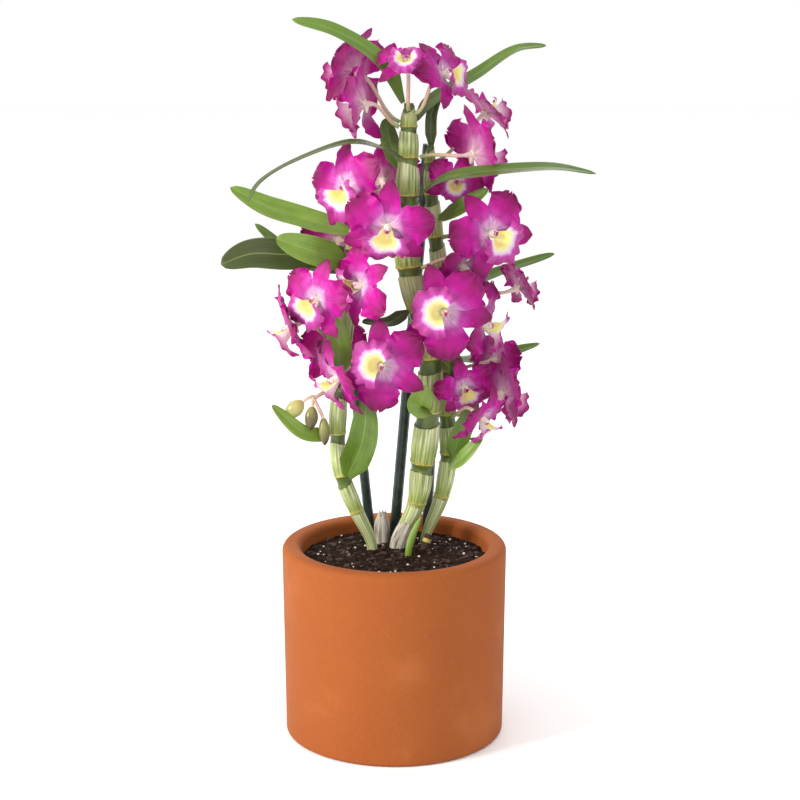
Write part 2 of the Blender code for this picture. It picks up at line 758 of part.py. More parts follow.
def build_buds():
    """The short spray with its three buds."""
    fork = Vector(BUD_FORK)
    start, leave = from_cane("cane_left", BUD_JOINT, fork)
    solids = [tube((start, (start + fork) / 2 + Vector((0, 0, 1.5)), fork, fork + (fork - start) * 0.08),
                   (BUD_STALK * 1.2,) * 3 + (BUD_STALK,), 5)]
    for centre, direction, thick, length in BUDS:
        along = Vector(direction).normalized()
        foot = Vector(centre) - along * length * 0.42
        path = curve_between(fork, Vector((-0.6, -0.2, 0.4)).normalized(), foot, along, 2)
        solids.append(tube(path, (BUD_STALK,) * 3, 5))
        solids.append(bud(centre, direction, thick, length))
    item = fused("bud_spray", solids, leaf_green())
    shade_round(item, 60)
    return item


def main():
    remove_all_objects()
    pot, inner_slope = build_pot()
    build_soil(inner_slope)
    for name in CANES:
        build_cane(name)
    for name in STAKES:
        build_stake(name)
    build_stub()
    build_shoot()
    build_buds()
    for name in BLOOMS:
        build_bloom(name)
    for name in LEAVES:
        build_leaf(name)


main()
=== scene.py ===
"""The looks of a potted dendrobium orchid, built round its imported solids.

Places and sizes are in millimetres, but those of the stage and of the panel are in metres.
The front of the plant is towards -Y.
"""
import math
import random

import bmesh
import bpy
from bpy.props import FloatProperty, FloatVectorProperty, IntProperty, PointerProperty
from mathutils import Matrix, Vector, noise


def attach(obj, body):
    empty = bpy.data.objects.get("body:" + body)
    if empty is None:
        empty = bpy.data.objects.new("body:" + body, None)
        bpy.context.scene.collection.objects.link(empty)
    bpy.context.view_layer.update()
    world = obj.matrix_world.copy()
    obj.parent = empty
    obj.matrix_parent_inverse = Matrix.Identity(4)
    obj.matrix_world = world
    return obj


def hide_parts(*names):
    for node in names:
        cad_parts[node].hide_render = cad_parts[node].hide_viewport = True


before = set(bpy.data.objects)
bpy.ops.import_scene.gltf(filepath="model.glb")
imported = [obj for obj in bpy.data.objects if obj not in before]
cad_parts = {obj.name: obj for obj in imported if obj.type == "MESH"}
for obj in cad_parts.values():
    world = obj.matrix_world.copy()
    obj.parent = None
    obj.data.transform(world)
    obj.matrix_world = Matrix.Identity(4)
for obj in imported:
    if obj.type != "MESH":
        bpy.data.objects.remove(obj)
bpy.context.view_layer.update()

bl_info = {
    "name": "Potted dendrobium orchid",
    "version": (1, 0, 0),
    "blender": (4, 5, 0),
    "location": "View3D > Sidebar > Orchid",
    "description": "Builds a flowering dendrobium orchid in a terracotta pot",
    "category": "Add Mesh",
}

MM = 0.001
GAP = 0.35
FULL_TURN = 2 * math.pi

# The pot's sizes are its solid's, but its outer wall runs straight from foot to rim.
POT_HEIGHT = 139.0
POT_RADIUS = 78.5
POT_RIM_RADIUS = 80.0
POT_RIM_ROUND = 4.8
POT_FOOT_ROUND = 2.5
POT_INNER_TOP = 66.5
POT_INNER_FLOOR = 64.0
POT_FLOOR = 12.0
POT_MIDDLE = 20.0
DRAIN_COUNT = 3
DRAIN_RADIUS = 6.0
DRAIN_CIRCLE = 34.0

SOIL_EDGE = 127.5
SOIL_MOUND = 3.0
SOIL_LUMP = 0.9
GRAIN_COUNT = 430
GRAINS_PER_PERLITE = 6
GRAIN_CLEAR_OF_WALL = 3.5
STEM_FOOT = 104.0
STEM_CLEAR = 133.0

# A cane's joints, from the soil up: x, y, z and radius.
CANES = {
    "cane_left": (
        (-16, 12, STEM_FOOT, 3.8), (-16, 12, STEM_CLEAR, 3.8), (-27, 7, 160, 5.2),
        (-37, 3, 188, 6.0), (-40, 0, 219, 6.0), (-38, 0, 252, 6.0), (-35, 0, 286, 5.8),
        (-31, 0, 320, 5.6), (-29, 0, 350, 4.6), (-28, 0, 364, 2.6),
    ),
    "cane_middle": (
        (3, 16, STEM_FOOT, 4.4), (3, 16, STEM_CLEAR, 4.4), (16, 12, 165, 6.8),
        (20, 8, 196, 9.0), (24, 5, 234, 9.2), (25, 5, 272, 8.8), (17, 5, 307, 8.4),
        (10, 5, 337, 9.0), (9, 5, 362, 8.8), (9, 5, 387, 8.6), (10, 5, 413, 6.9),
        (10, 5, 434, 6.2), (10, 5, 450, 3.4),
    ),
    "cane_right": (
        (22, 24, STEM_FOOT, 3.2), (22, 24, STEM_CLEAR, 3.2), (34, 21, 167, 5.6),
        (39, 20, 199, 6.6), (38, 20, 228, 6.4), (38, 20, 260, 6.4), (36, 20, 292, 6.2),
        (33, 20, 325, 6.0), (29, 20, 356, 5.8), (26, 20, 386, 5.2), (25, 20, 408, 4.0),
        (25, 20, 420, 2.4),
    ),
}
CANE_FIRST_RING = 2
# Shares of an internode and their thickness: the jagged scar ring, the papery
# sheath with its bulge, its mouth, then the bare waist of the cane.
CANE_PROFILE = (
    (0.00, 0.97), (0.012, 1.02), (0.035, 1.03), (0.05, 0.98), (0.12, 0.99), (0.22, 1.02),
    (0.34, 1.05), (0.46, 1.05), (0.58, 1.03), (0.68, 1.01), (0.755, 1.00), (0.765, 0.88),
    (0.82, 0.86), (0.90, 0.86), (0.96, 0.92),
)
SHEATH_MOUTH = 0.76

STAKES = {
    "stake_middle": ((0, 42, STEM_FOOT), (24, 37, 419), 3.8),
    "stake_left": ((-18, 50, STEM_FOOT), (-36, 34, 322), 3.5),
    "stake_right": ((24, 46, STEM_FOOT), (31, 40, 300), 3.6),
}
STAKE_KNURL = 2.5

STUB_PATH = ((-9, 31, STEM_FOOT), (-9, 31, STEM_CLEAR - 2), (-9, 31, 140), (-9, 31, 147), (-9, 31, 152))
STUB_RADII = (4.6, 4.6, 5.6, 4.6, 2.2)
SHOOT_PATH = ((10, -4, STEM_FOOT), (10, -4, STEM_CLEAR - 2), (12, -2, 141), (16, 0, 151), (19, 1, 157))
SHOOT_RADII = (2.2, 2.2, 2.4, 1.8, 0.6)

# The dry husk round the middle cane's foot, and an old cane cut off beside it.
HUSK_PATH = ((1.5, 16.5, 128), (4, 15.7, 136), (7, 14.8, 143), (9.5, 14, 149))
HUSK_RADII = (5.6, 6.2, 6.3, 5.9)
CUT_PATH = ((21, 13.5, 127), (22.5, 14.2, 133), (25, 15.6, 140))
CUT_RADII = (3.0, 2.9, 2.7)
CUT_RING = (0.62, 0.80)
CUT_RING_RADII = (3.15, 3.1)

BUD_JOINT = 249
BUD_FORK = (-55, -9, 247)
BUD_STALK = 1.2
# Each bud's centre, the way it points, its thickness, its length and how ripe it is.
BUDS = (
    ((-70, -11, 239), (-0.75, -0.1, -0.65), 11.5, 16.0, 0.0),
    ((-58, -13, 233), (-0.10, -0.2, -1.00), 9.5, 16.0, 0.45),
    ((-49, -12, 223), (0.05, -0.1, -1.00), 8.0, 19.0, 0.35),
)

# A bloom of size 1. Its sepals and petals are drawn a little longer and wider than the solid's.
TEPAL_LONGER = 1.07
TEPAL_WIDER = 1.20
# An outline is the foot's share of the width, the share of the length where it is widest,
# and how blunt the tip is. A cup bends the edges forwards, or backwards below 0.
SEPAL = {"length": 30.0, "width": 13.5, "outline": (0.24, 0.42, 2.3), "columns": 10, "lift": -0.6,
         "bend": (-0.16, 0.02), "cup": 0.10, "wave": 0.0, "frill": 0.35, "scallop": 0.0, "edge": 0.01}
PETAL = {"length": 29.0, "width": 24.0, "outline": (0.17, 0.55, 3.0), "columns": 20, "lift": 0.9,
         "bend": (-0.10, 0.06), "cup": -0.05, "wave": 0.085, "frill": 1.0, "scallop": 2.2, "edge": 0.04}
TEPALS = ((90, SEPAL), (218, SEPAL), (322, SEPAL), (158, PETAL), (22, PETAL))
LIP_FOOT = 2.2
LIP_TUBE = 12.0
LIP_THROAT = 6.0
LIP_LIMB = 16.0
LIP_MOUTH = 0.55
COLUMN_LENGTH = 8.0
COLUMN_RADIUS = 2.3
HUB_RADIUS = 2.9
PEDICEL_RADIUS = 1.3
OVARY_RADIUS = 1.8

# Blooms: centre, the compass side it faces (0 front, 90 right, 180 back, in
# degrees), how far it looks up, its turn in its own plane, its size, its cane
# and the height of the joint that carries it.
BLOOMS = {
    "bloom_01": ((9, -9, 477), -10, 55, 0, 0.70, "cane_middle", 446),
    "bloom_02": ((33, -10, 470), 55, 25, 20, 0.80, "cane_middle", 443),
    "bloom_03": ((-27, 16, 470), -125, 15, 0, 1.00, "cane_middle", 437),
    "bloom_04": ((-20, -2, 450), -110, 0, 10, 1.00, "cane_middle", 434),
    "bloom_05": ((54, 6, 415), 120, 5, 0, 1.05, "cane_middle", 413),
    "bloom_06": ((64, 45, 440), 110, 40, 0, 0.85, "cane_right", 408),
    "bloom_07": ((-30, -21, 395), -40, 5, 15, 1.00, "cane_middle", 387),
    "bloom_08": ((-40, 36, 352), -150, 0, 0, 0.90, "cane_left", 350),
    "bloom_09": ((-4, -36, 371), -5, -20, -10, 1.00, "cane_middle", 362),
    "bloom_10": ((42, 7, 395), 10, 15, -20, 0.64, "cane_right", 391),
    "bloom_11": ((66, -14, 363), 25, 5, 30, 1.00, "cane_right", 356),
    "bloom_12": ((46, -12, 341), 48, -30, 0, 0.82, "cane_middle", 337),
    "bloom_13": ((34, -32, 312), 5, 0, -105, 1.05, "cane_middle", 307),
    "bloom_14": ((49, 13, 323), 18, 50, 20, 0.70, "cane_right", 325),
    "bloom_15": ((61, -5, 298), 70, -5, 40, 0.97, "cane_right", 292),
    "bloom_16": ((87, 20, 320), 112, 22, 0, 0.72, "cane_right", 318),
    "bloom_17": ((71, 28, 266), 140, 0, 0, 0.80, "cane_right", 260),
    "bloom_18": ((49, -6, 254), 15, -15, 20, 0.68, "cane_right", 260),
    "bloom_19": ((76, 8, 246), 115, 0, 0, 0.95, "cane_right", 228),
    "bloom_20": ((60, -22, 236), 60, -35, 0, 0.80, "cane_right", 228),
    "bloom_21": ((-52, -27, 319), -37, 5, -10, 0.90, "cane_left", 320),
    "bloom_22": ((-22, -32, 330), -50, 5, -60, 0.90, "cane_left", 320),
    "bloom_23": ((-70, -10, 298), -80, -20, 0, 0.95, "cane_left", 286),
    "bloom_24": ((-42, 21, 274), -150, -10, 0, 0.85, "cane_left", 286),
    "bloom_25": ((-38, -24, 265), -65, -25, -20, 0.95, "cane_left", 252),
    "bloom_26": ((-8, -38, 276), -5, 0, -120, 1.00, "cane_middle", 272),
    "bloom_27": ((-8, 38, 393), -170, 10, 0, 0.90, "cane_middle", 387),
}

# Leaves: cane, joint height, points of the rib after the joint, the side that the upper
# face looks to, width, and how deep green it is: 0 is young and light, 1 is old and dark.
LEAVES = {
    "leaf_01": ("cane_middle", 450, ((-8, 3, 478), (-39, 6, 498), (-69, 8, 506)), (0.5, -1, 0.6), 12, 0.45),
    "leaf_02": ("cane_middle", 437, ((27, 20, 451), (57, 34, 467), (84, 40, 484), (106, 44, 487)),
                (-0.3, -0.7, 1), 12, 0.65),
    "leaf_03": ("cane_right", 418, ((26, 24, 440), (32, 27, 456)), (0, -1, 0.3), 8, 0.9),
    "leaf_04": ("cane_middle", 387, ((34, -12, 400), (58, -20, 405), (105, -24, 409), (136, -24, 405)),
                (0, -0.5, 1), 13, 0.72),
    "leaf_05": ("cane_middle", 413, ((-9, -14, 421), (-32, -20, 425), (-67, -22, 413), (-89, -22, 400),
                                     (-99, -22, 386)), (0, -0.15, 1), 11, 0.8),
    "leaf_06": ("cane_left", 362, ((-63, 12, 370), (-89, 14, 378), (-114, 16, 391)),
                (0.2, -1, 0.7), 17, 0.3),
    "leaf_07": ("cane_left", 348, ((-72, -4, 347), (-98, -8, 348), (-119, -10, 341)),
                (0, -1, 0.3), 22, 1.0),
    "leaf_08": ("cane_left", 343, ((-54, -20, 351), (-80, -26, 361)), (0.3, -1, 0.5), 21, 0.25),
    "leaf_09": ("cane_left", 333, ((-68, 22, 340), (-98, 28, 364)), (0, -1, 0.5), 9, 0.7),
    "leaf_10": ("cane_left", 262, ((-38, -22, 284), (-42, -20, 306)), (0.4, -1, 0.2), 18, 0.1),
    "leaf_11": ("cane_middle", 307, ((-3, -12, 301), (-22, -22, 303)), (0, -0.7, 0.8), 10, 0.9),
    "leaf_13": ("cane_left", 219, ((-64, -14, 223), (-85, -20, 244)), (0.3, -1, 0.6), 11, 0.15),
    "leaf_14": ("cane_left", 188, ((-22, -20, 219), (-19, -24, 250)), (0, -1, 0.1), 21, 0.62),
    "leaf_15": ("cane_left", 168, ((-36, 25, 173), (-40, 30, 181)), (-0.3, -1, 0.2), 9, 0.9),
    "leaf_16": ("cane_middle", 240, ((18, -14, 243), (23, -22, 258)), (0, -1, 0.5), 18, 0.2),
    "leaf_17": ("cane_right", 199, ((47, 4, 218), (58, -2, 243)), (0.2, -1, 0.2), 15, 0.55),
    "leaf_18": ("cane_right", 196, ((46, -12, 202), (62, -18, 221)), (-0.6, -0.8, 0.6), 12, 0.3),
    "leaf_19": ("cane_right", 325, ((60, 44, 322), (86, 50, 330), (115, 52, 339)), (0, -0.6, 1), 11, 0.5),
    "leaf_20": ("cane_right", 266, ((60, 48, 262), (84, 54, 266), (106, 54, 273)), (0, -0.7, 1), 11, 0.5),
    "leaf_21": ("cane_middle", 283, ((43, -4, 268), (37, -8, 249)), (0.4, -1, 0), 12, 0.6),
    "leaf_22": ("cane_right", 370, ((46, -8, 380), (64, -12, 393)), (-0.4, -0.8, 0.6), 13, 0.55),
    "leaf_23": ("cane_middle", 404, ((-3, 20, 423), (-6, 24, 438)), (0, -1, 0.3), 13, 0.7),
}
LEAF_FOLD = 0.22

# The stage, in metres. Lights: place, aim, watts, size and colour.
FLOOR_HALF = 6.0
FLOOR_BELOW = 0.0004
LIGHTS = {
    "key": ((-1.7, -0.9, 1.1), (0, 0, 0.25), 42.0, 0.6, "#FFF8F0"),
    "fill": ((0.5, -1.9, 1.0), (0, 0, 0.3), 5.0, 0.9, "#F4F7FF"),
    "back": ((0.3, 1.4, 1.4), (0, 0, 0.35), 6.0, 0.9, "#FFFFFF"),
}
CAMERA_PLACE = (0.0041, -1.354, 0.551)
CAMERA_PITCH = 12.81
CAMERA_LENS = 88.8


def linear(value):
    """An sRGB hex value, a grey share or a chosen colour, as linear red, green, blue and alpha."""
    if isinstance(value, float):
        return (value, value, value, 1.0)
    if not isinstance(value, str):
        return tuple(value)
    channels = [int(value[k:k + 2], 16) / 255 for k in (1, 3, 5)]
    return (*(c / 12.92 if c <= 0.04045 else ((c + 0.055) / 1.055) ** 2.4 for c in channels), 1.0)


def chosen_colour(name, about, value):
    """A colour for the user to change."""
    return FloatVectorProperty(name=name, description=about, subtype="COLOR", size=4,
                               default=linear(value), min=0, max=1)


class OrchidFinish(bpy.types.PropertyGroup):
    """Colours that a user may want to change."""

    petal: chosen_colour("Petal", "Main colour of the petals", "#B4178C")
    rim: chosen_colour("Lip rim", "Colour of the lip's frilled rim", "#941472")
    throat: chosen_colour("Throat", "Colour inside the lip", "#EBDA84")
    leaf: chosen_colour("Leaf", "Colour of a middle-aged leaf", "#5F7D2A")
    clay: chosen_colour("Terracotta", "Colour of the fired clay", "#9B5322")


class OrchidSizes(bpy.types.PropertyGroup):
    """Sizes of the fine surface."""

    blade: FloatProperty(name="Petal thickness", description="Thickness of a petal in its middle",
                         unit="LENGTH", default=0.0007, min=0.0004, max=0.0012)
    leaf: FloatProperty(name="Leaf thickness", description="Thickness of a leaf at its rib",
                        unit="LENGTH", default=0.0010, min=0.0005, max=0.0015)
    frill: FloatProperty(name="Frill", description="Height of the fine waves on a petal's edge",
                         unit="LENGTH", default=0.0017, min=0.0, max=0.002)
    rows: IntProperty(name="Petal rows", description="Rows of faces along a petal",
                      default=26, min=8, max=40)


class Surface:
    """A material while it is made. Its patterns are sized in millimetres of the real surface.

    A blade is the usual width and length of one petal, leaf or internode, or the
    way round and along a stalk. It turns the blade coordinates into millimetres.
    """

    def __init__(self, name, values, blade=None):
        self.made = bpy.data.materials.new(name)
        self.made.use_nodes = True
        self.tree = self.made.node_tree
        self.shader = self.tree.nodes["Principled BSDF"]
        for key, value in values.items():
            self.shader.inputs[key].default_value = value
        if blade:
            self.blade = blade
            self.spot = self.add("UVMap", {"uv_map": "blade"})
            self.across = self.add("SeparateXYZ", links={"Vector": self.spot})
            self.along = self.across.node.outputs["Y"]

    def add(self, kind, settings=None, links=None, out=0):
        """Add a node, with its settings, a ramp's stops and the outputs that feed its inputs."""
        node = self.tree.nodes.new("ShaderNode" + kind)
        for key, value in (settings or {}).items():
            if key in ("soft stops", "even stops"):
                node.color_ramp.interpolation = "EASE" if key == "soft stops" else "LINEAR"
                elements = node.color_ramp.elements
                while len(elements) < len(value):
                    elements.new(0.5)
                for element, (place, colour) in zip(elements, value):
                    element.position = place
                    element.color = linear(colour)
            elif isinstance(key, str) and hasattr(node, key):
                setattr(node, key, value)
            else:
                node.inputs[key].default_value = value
        for key, output in (links or {}).items():
            self.tree.links.new(output, node.inputs[key])
        return node.outputs[out]

    def veins(self, across, along, detail=3.0):
        """Noise drawn out along a blade, with streaks this many millimetres wide and long."""
        counts = (self.blade[0] / across, self.blade[1] / along, 1.0)
        stretched = self.add("Mapping", {"Scale": counts}, {"Vector": self.spot})
        return self.add("TexNoise", {"Scale": 1.0, "Detail": detail}, {"Vector": stretched})

    def grain(self, size, detail):
        """Noise whose features are about this many millimetres across."""
        place = self.add("TexCoord", out="Object")
        return self.add("TexNoise", {"Scale": 1.0 / (size * MM), "Detail": detail}, {"Vector": place})

    def pushed(self, base, pattern, amount):
        """A place on the surface, moved to and fro by a pattern."""
        offset = self.add("Math", {"operation": "MULTIPLY_ADD", 1: amount, 2: -amount / 2}, {0: pattern})
        return self.add("Math", {"operation": "ADD"}, {0: base, 1: offset})

    def stained(self, colour, share, pattern, *stops):
        """A colour multiplied, to this share, by the tints that a pattern picks."""
        tint = self.add("ValToRGB", {"soft stops": stops}, {0: pattern})
        settings = {"data_type": "RGBA", "blend_type": "MULTIPLY", 0: share}
        return self.add("Mix", settings, {6: colour, 7: tint}, 2)

    def marked(self, under, over, pattern, *stops, way="MIX", ease="soft stops"):
        """A second colour laid on where a pattern lets it through."""
        through = self.add("ValToRGB", {ease: stops}, {0: pattern})
        settings = {"data_type": "RGBA", "blend_type": way}
        links = {0: through, 6: under}
        if isinstance(over, str):
            settings[7] = linear(over)
        else:
            links[7] = over
        return self.add("Mix", settings, links, 2)

    def toned(self, colour, saturation, spread, least):
        """A colour made lighter or darker by each piece's own tone."""
        tone = self.add("Attribute", {"attribute_name": "tone"}, out="Fac")
        value = self.add("Math", {"operation": "MULTIPLY_ADD", 1: spread, 2: least}, {0: tone})
        return self.add("HueSaturation", {"Saturation": saturation}, {"Color": colour, "Value": value})

    def done(self, colour, *reliefs):
        """Lay the colour on, then each relief: a pattern, its strength and its depth."""
        links = {"Base Color": colour}
        for height, strength, depth in reliefs:
            under = {"Normal": links["Normal"]} if "Normal" in links else {}
            links["Normal"] = self.add("Bump", {"Strength": strength, "Distance": depth * MM},
                                       {"Height": height, **under})
        for key, output in links.items():
            self.tree.links.new(output, self.shader.inputs[key])
        return self.made


def petal_tissue(finish, back):
    """Orchid petal, soft living tissue: a satin sheen, light glowing through, fine veins."""
    skin = Surface("petal_tissue_back" if back else "petal_tissue_front", {
        "Roughness": 0.48, "Specular IOR Level": 0.25, "Subsurface Weight": 0.22,
        "Subsurface Radius": (0.004, 0.0012, 0.0025), "Subsurface Scale": 1.0}, blade=(26.0, 32.0))
    vein = skin.veins(1.0, 20.0)
    blotch = skin.veins(26.0 / 3, 16.0, 2.0)
    reach = skin.pushed(skin.pushed(skin.along, vein, 0.22), blotch, 0.16)
    stops = ((0.06, "#E8DEDC"), (0.20, "#DAB2D6"), (0.34, "#BF48A8"), (0.58, finish.petal),
             (0.97, "#800A56"))
    if back:
        stops = ((0.04, "#E2D2CC"), (0.20, "#D9A6C8"), (0.42, "#C052A4"), (0.72, finish.petal),
                 (1.0, "#9C157A"))
    colour = skin.add("ValToRGB", {"soft stops": stops}, {0: reach})
    colour = skin.stained(colour, 0.5, vein, (0.36, "#C88FBB"), (0.58, "#FFFFFF"))
    colour = skin.stained(colour, 0.55, blotch, (0.34, "#C27AAE"), (0.60, "#FFFFFF"))
    return skin.done(skin.toned(colour, 1.02, 0.55, 0.68), (vein, 0.6, 0.5))


def lip_tissue(finish, back):
    """The lip's tissue, velvety: a yellow throat, a white band and a magenta frilled rim."""
    skin = Surface("lip_tissue_back" if back else "lip_tissue_front", {
        "Roughness": 0.6, "Sheen Weight": 0.12, "Subsurface Weight": 0.2,
        "Subsurface Radius": (0.004, 0.002, 0.002), "Subsurface Scale": 1.0}, blade=(45.0, 24.0))
    vein = skin.veins(1.5, 16.0)
    edge = skin.veins(5.0, 24.0, 4.0)
    reach = skin.pushed(skin.pushed(skin.along, edge, 0.20), vein, 0.07)
    # Deep in the tube the yellow is painted paler, near white at its foot: painted light against the shade
    # inside the tube.
    stops = ((0.10, "#FBF3C4"), (0.40, finish.throat), (0.60, "#E2D68C"), (0.67, "#DAD2C2"),
             (0.75, "#CEA6CA"), (0.81, "#AE329A"), (0.95, finish.rim))
    if back:
        stops = ((0.1, "#E9D9C8"), (0.55, "#EFE0E2"), (0.78, "#D98CC4"), (0.92, finish.petal),
                 (1.0, finish.rim))
    colour = skin.add("ValToRGB", {"even stops": stops}, {0: reach})
    return skin.done(skin.toned(colour, 1.0, 0.25, 0.86), (vein, 0.4, 0.4))


def column_tissue():
    """The column, a waxy white knob: a soft gloss, with crimson spots towards its tip."""
    skin = Surface("column_wax", {"Roughness": 0.35}, blade=(14.0, 9.0))
    spots = skin.veins(2.0, 1.0, 1.0)
    low = skin.add("Math", {"operation": "MULTIPLY", 1: 0.6}, {0: skin.along})
    reach = skin.pushed(low, spots, 1.0)
    stops = ((0.40, "#E8DFCC"), (0.48, "#D09AB4"), (0.55, "#861048"))
    return skin.done(skin.add("ValToRGB", {"soft stops": stops}, {0: reach}))


def stalk_skin():
    """A flower stalk, thin living skin: smooth and pale, flushed with pink and olive."""
    skin = Surface("stalk_skin", {"Roughness": 0.45, "Subsurface Weight": 0.1,
                                  "Subsurface Radius": (0.003, 0.002, 0.001)}, blade=(8.0, 30.0))
    reach = skin.pushed(skin.along, skin.veins(4.0, 6.0, 2.0), 0.3)
    stops = ((0.0, "#9AA265"), (0.35, "#C3A48C"), (0.75, "#CFB0A2"), (1.0, "#E4CFC4"))
    return skin.done(skin.add("ValToRGB", {"soft stops": stops}, {0: reach}))


def leaf_skin(finish, back):
    """A strap leaf, leathery with a thin wax: a low shine, long fine veins and a pale rib."""
    skin = Surface("leaf_skin_back" if back else "leaf_skin_front", {
        "Roughness": 0.5 if back else 0.36, "Coat Weight": 0.08, "Coat Roughness": 0.3,
        "Specular IOR Level": 0.4, "Subsurface Weight": 0.08,
        "Subsurface Radius": (0.001, 0.002, 0.0005)}, blade=(21.0, 84.0))
    vein = skin.veins(0.5, 70.0, 4.0)
    cloud = skin.veins(10.5, 16.8, 3.0)
    age = skin.pushed(skin.add("Attribute", {"attribute_name": "tone"}, out="Fac"), cloud, 0.45)
    stops = ((0.1, "#7E9C3C"), (0.5, finish.leaf), (0.95, "#3A4616"))
    if back:
        stops = ((0.1, "#8FA45C"), (0.5, "#76865A"), (0.95, "#4C5830"))
    colour = skin.add("ValToRGB", {"soft stops": stops}, {0: age})
    colour = skin.stained(colour, 0.5, vein, (0.38, "#B9C790"), (0.60, "#FFFFFF"))
    sideways = skin.add("Math", {"operation": "SUBTRACT", 1: 0.5}, {0: skin.across})
    off_rib = skin.add("Math", {"operation": "ABSOLUTE"}, {0: sideways})
    colour = skin.marked(colour, "#B4BE70", off_rib, (0.012, 0.22), (0.035, 0.0))
    colour = skin.marked(colour, "#C5C98E", off_rib, (0.455, 0.0), (0.5, 0.15))
    return skin.done(colour, (vein, 0.35, 0.5))


def cane_skin():
    """A cane in dry papery sheaths: silver length lines, yellow scars and glossy bare waists."""
    skin = Surface("cane_papery_sheath", {"Sheen Weight": 0.1}, blade=(40.8, 30.0))
    line = skin.veins(1.2, 100.0 / 3, 4.0)
    cloud = skin.veins(13.6, 15.0, 3.0)
    jag = skin.veins(2.55, 75.0, 1.0)
    local = skin.add("Math", {"operation": "FRACT"}, {0: skin.along})
    torn = skin.pushed(local, jag, 0.05)
    teeth = skin.pushed(local, jag, 0.24)
    before, after = SHEATH_MOUTH - 0.004, SHEATH_MOUTH + 0.004
    papery = ((0.34, "#7F8C4C"), (0.50, "#B9C48C"), (0.66, "#E6E8CF"))
    colour = skin.add("ValToRGB", {"soft stops": papery}, {0: line})
    colour = skin.stained(colour, 0.5, cloud, (0.3, "#B9C388"), (0.7, "#F4F2E0"))
    colour = skin.marked(colour, "#D3DCA4", local, (0.1, 1.0), (0.55, 0.0), way="MULTIPLY")
    waist = skin.add("ValToRGB", {"soft stops": ((0.3, "#364A18"), (0.7, "#5F7428"))}, {0: cloud})
    bare = skin.add("ValToRGB", {"soft stops": ((before, 0.0), (after, 1.0))}, {0: torn})
    colour = skin.add("Mix", {"data_type": "RGBA"}, {0: bare, 6: colour, 7: waist}, 2)
    scar = skin.add("ValToRGB", {"soft stops": ((0.4, "#A8943C"), (0.6, "#D2C263"))}, {0: jag})
    colour = skin.marked(colour, scar, teeth, (0.0, 1.0), (0.035, 1.0), (0.06, 0.0), ease="even stops")
    gloss = skin.add("ValToRGB", {"soft stops": ((0.0, 0.55), (1.0, 0.30))}, {0: bare})
    skin.tree.links.new(gloss, skin.shader.inputs["Roughness"])
    return skin.done(colour, (line, 0.5, 0.6))


def fired_clay(finish):
    """Terracotta, pressed and fired unglazed: matte, chalky clouds, fine sandy grain."""
    skin = Surface("terracotta_fired", {"Roughness": 0.72, "Specular IOR Level": 0.22})
    cloud = skin.grain(45.0, 3.0)
    # Real grit is nearer 0.3 mm, which is too fine to show.
    sand = skin.grain(0.9, 3.0)
    speck = skin.grain(2.6, 1.0)
    stops = ((0.30, "#9A5122"), (0.52, finish.clay), (0.75, "#A45C2C"))
    colour = skin.add("ValToRGB", {"soft stops": stops}, {0: cloud})
    colour = skin.stained(colour, 0.30, sand, (0.3, "#D6BBA4"), (0.7, "#FFFFFF"))
    colour = skin.marked(colour, "#C98C62", speck, (0.70, 0.0), (0.80, 0.08))
    return skin.done(colour, (sand, 0.35, 0.3), (cloud, 0.05, 2.0))


def potting_mix():
    """Moist potting mix, sifted peat and bark: dark crumbs with a dull broken surface."""
    skin = Surface("potting_mix", {"Roughness": 0.9, "Specular IOR Level": 0.15})
    crumb = skin.grain(2.2, 5.0)
    stops = ((0.32, "#130B07"), (0.55, "#2C1C13"), (0.75, "#513523"))
    colour = skin.add("ValToRGB", {"soft stops": stops}, {0: crumb})
    colour = skin.stained(colour, 0.5, skin.grain(5.0, 2.0), (0.35, "#8E8078"), (0.65, "#FFFFFF"))
    return skin.done(colour, (crumb, 0.9, 1.5))


def plain_grain(name, roughness, size, detail, *stops):
    """A dull or satin surface whose only pattern is a grain of this size."""
    skin = Surface(name, {"Roughness": roughness})
    return skin.done(skin.add("ValToRGB", {"soft stops": stops}, {0: skin.grain(size, detail)}))


def perlite():
    """Perlite, volcanic glass popped by heat: chalk white and pitted."""
    return plain_grain("perlite_grain", 0.85, 0.8, 3.0, (0.3, "#A79C90"), (0.6, "#E9E4DC"))


def bark():
    """Bark, chipped: brown, fibrous and dull."""
    return plain_grain("bark_chip", 0.88, 1.4, 4.0, (0.3, "#20140E"), (0.6, "#463022"), (0.8, "#6E533C"))


def stake_plastic():
    """Polyethylene, moulded over a steel tube: dark green, satin, a little scuffed."""
    return plain_grain("stake_green_plastic", 0.38, 6.0, 4.0, (0.35, "#14231F"), (0.7, "#2A3A36"))


def dry_sheath():
    """A spent bulb's sheath, dried to paper: bleached and matte, with brown length lines."""
    skin = Surface("dry_papery_sheath", {"Roughness": 0.8}, blade=(33.0, 30.0))
    line = skin.veins(1.5, 25.0, 4.0)
    stops = ((0.34, "#6B6052"), (0.5, "#B4ADA0"), (0.66, "#D8D4CA"))
    return skin.done(skin.add("ValToRGB", {"soft stops": stops}, {0: line}), (line, 0.6, 0.6))


def bud_skin():
    """A flower bud, waxy skin: a wet gloss, and olive that turns dusky purple as it ripens."""
    skin = Surface("bud_waxy_skin", {"Roughness": 0.35, "Coat Weight": 0.2}, blade=(30.0, 18.0))
    tone = skin.add("Attribute", {"attribute_name": "tone"}, out="Fac")
    ripe = skin.add("Math", {"operation": "MULTIPLY_ADD", 1: 0.45}, {0: skin.along, 2: tone})
    reach = skin.pushed(ripe, skin.veins(2.5, 12.0, 3.0), 0.3)
    stops = ((0.1, "#B4B06A"), (0.45, "#8C8A4C"), (0.75, "#5B5230"), (1.0, "#4A2F3A"))
    return skin.done(skin.add("ValToRGB", {"soft stops": stops}, {0: reach}))


MATERIALS = {}


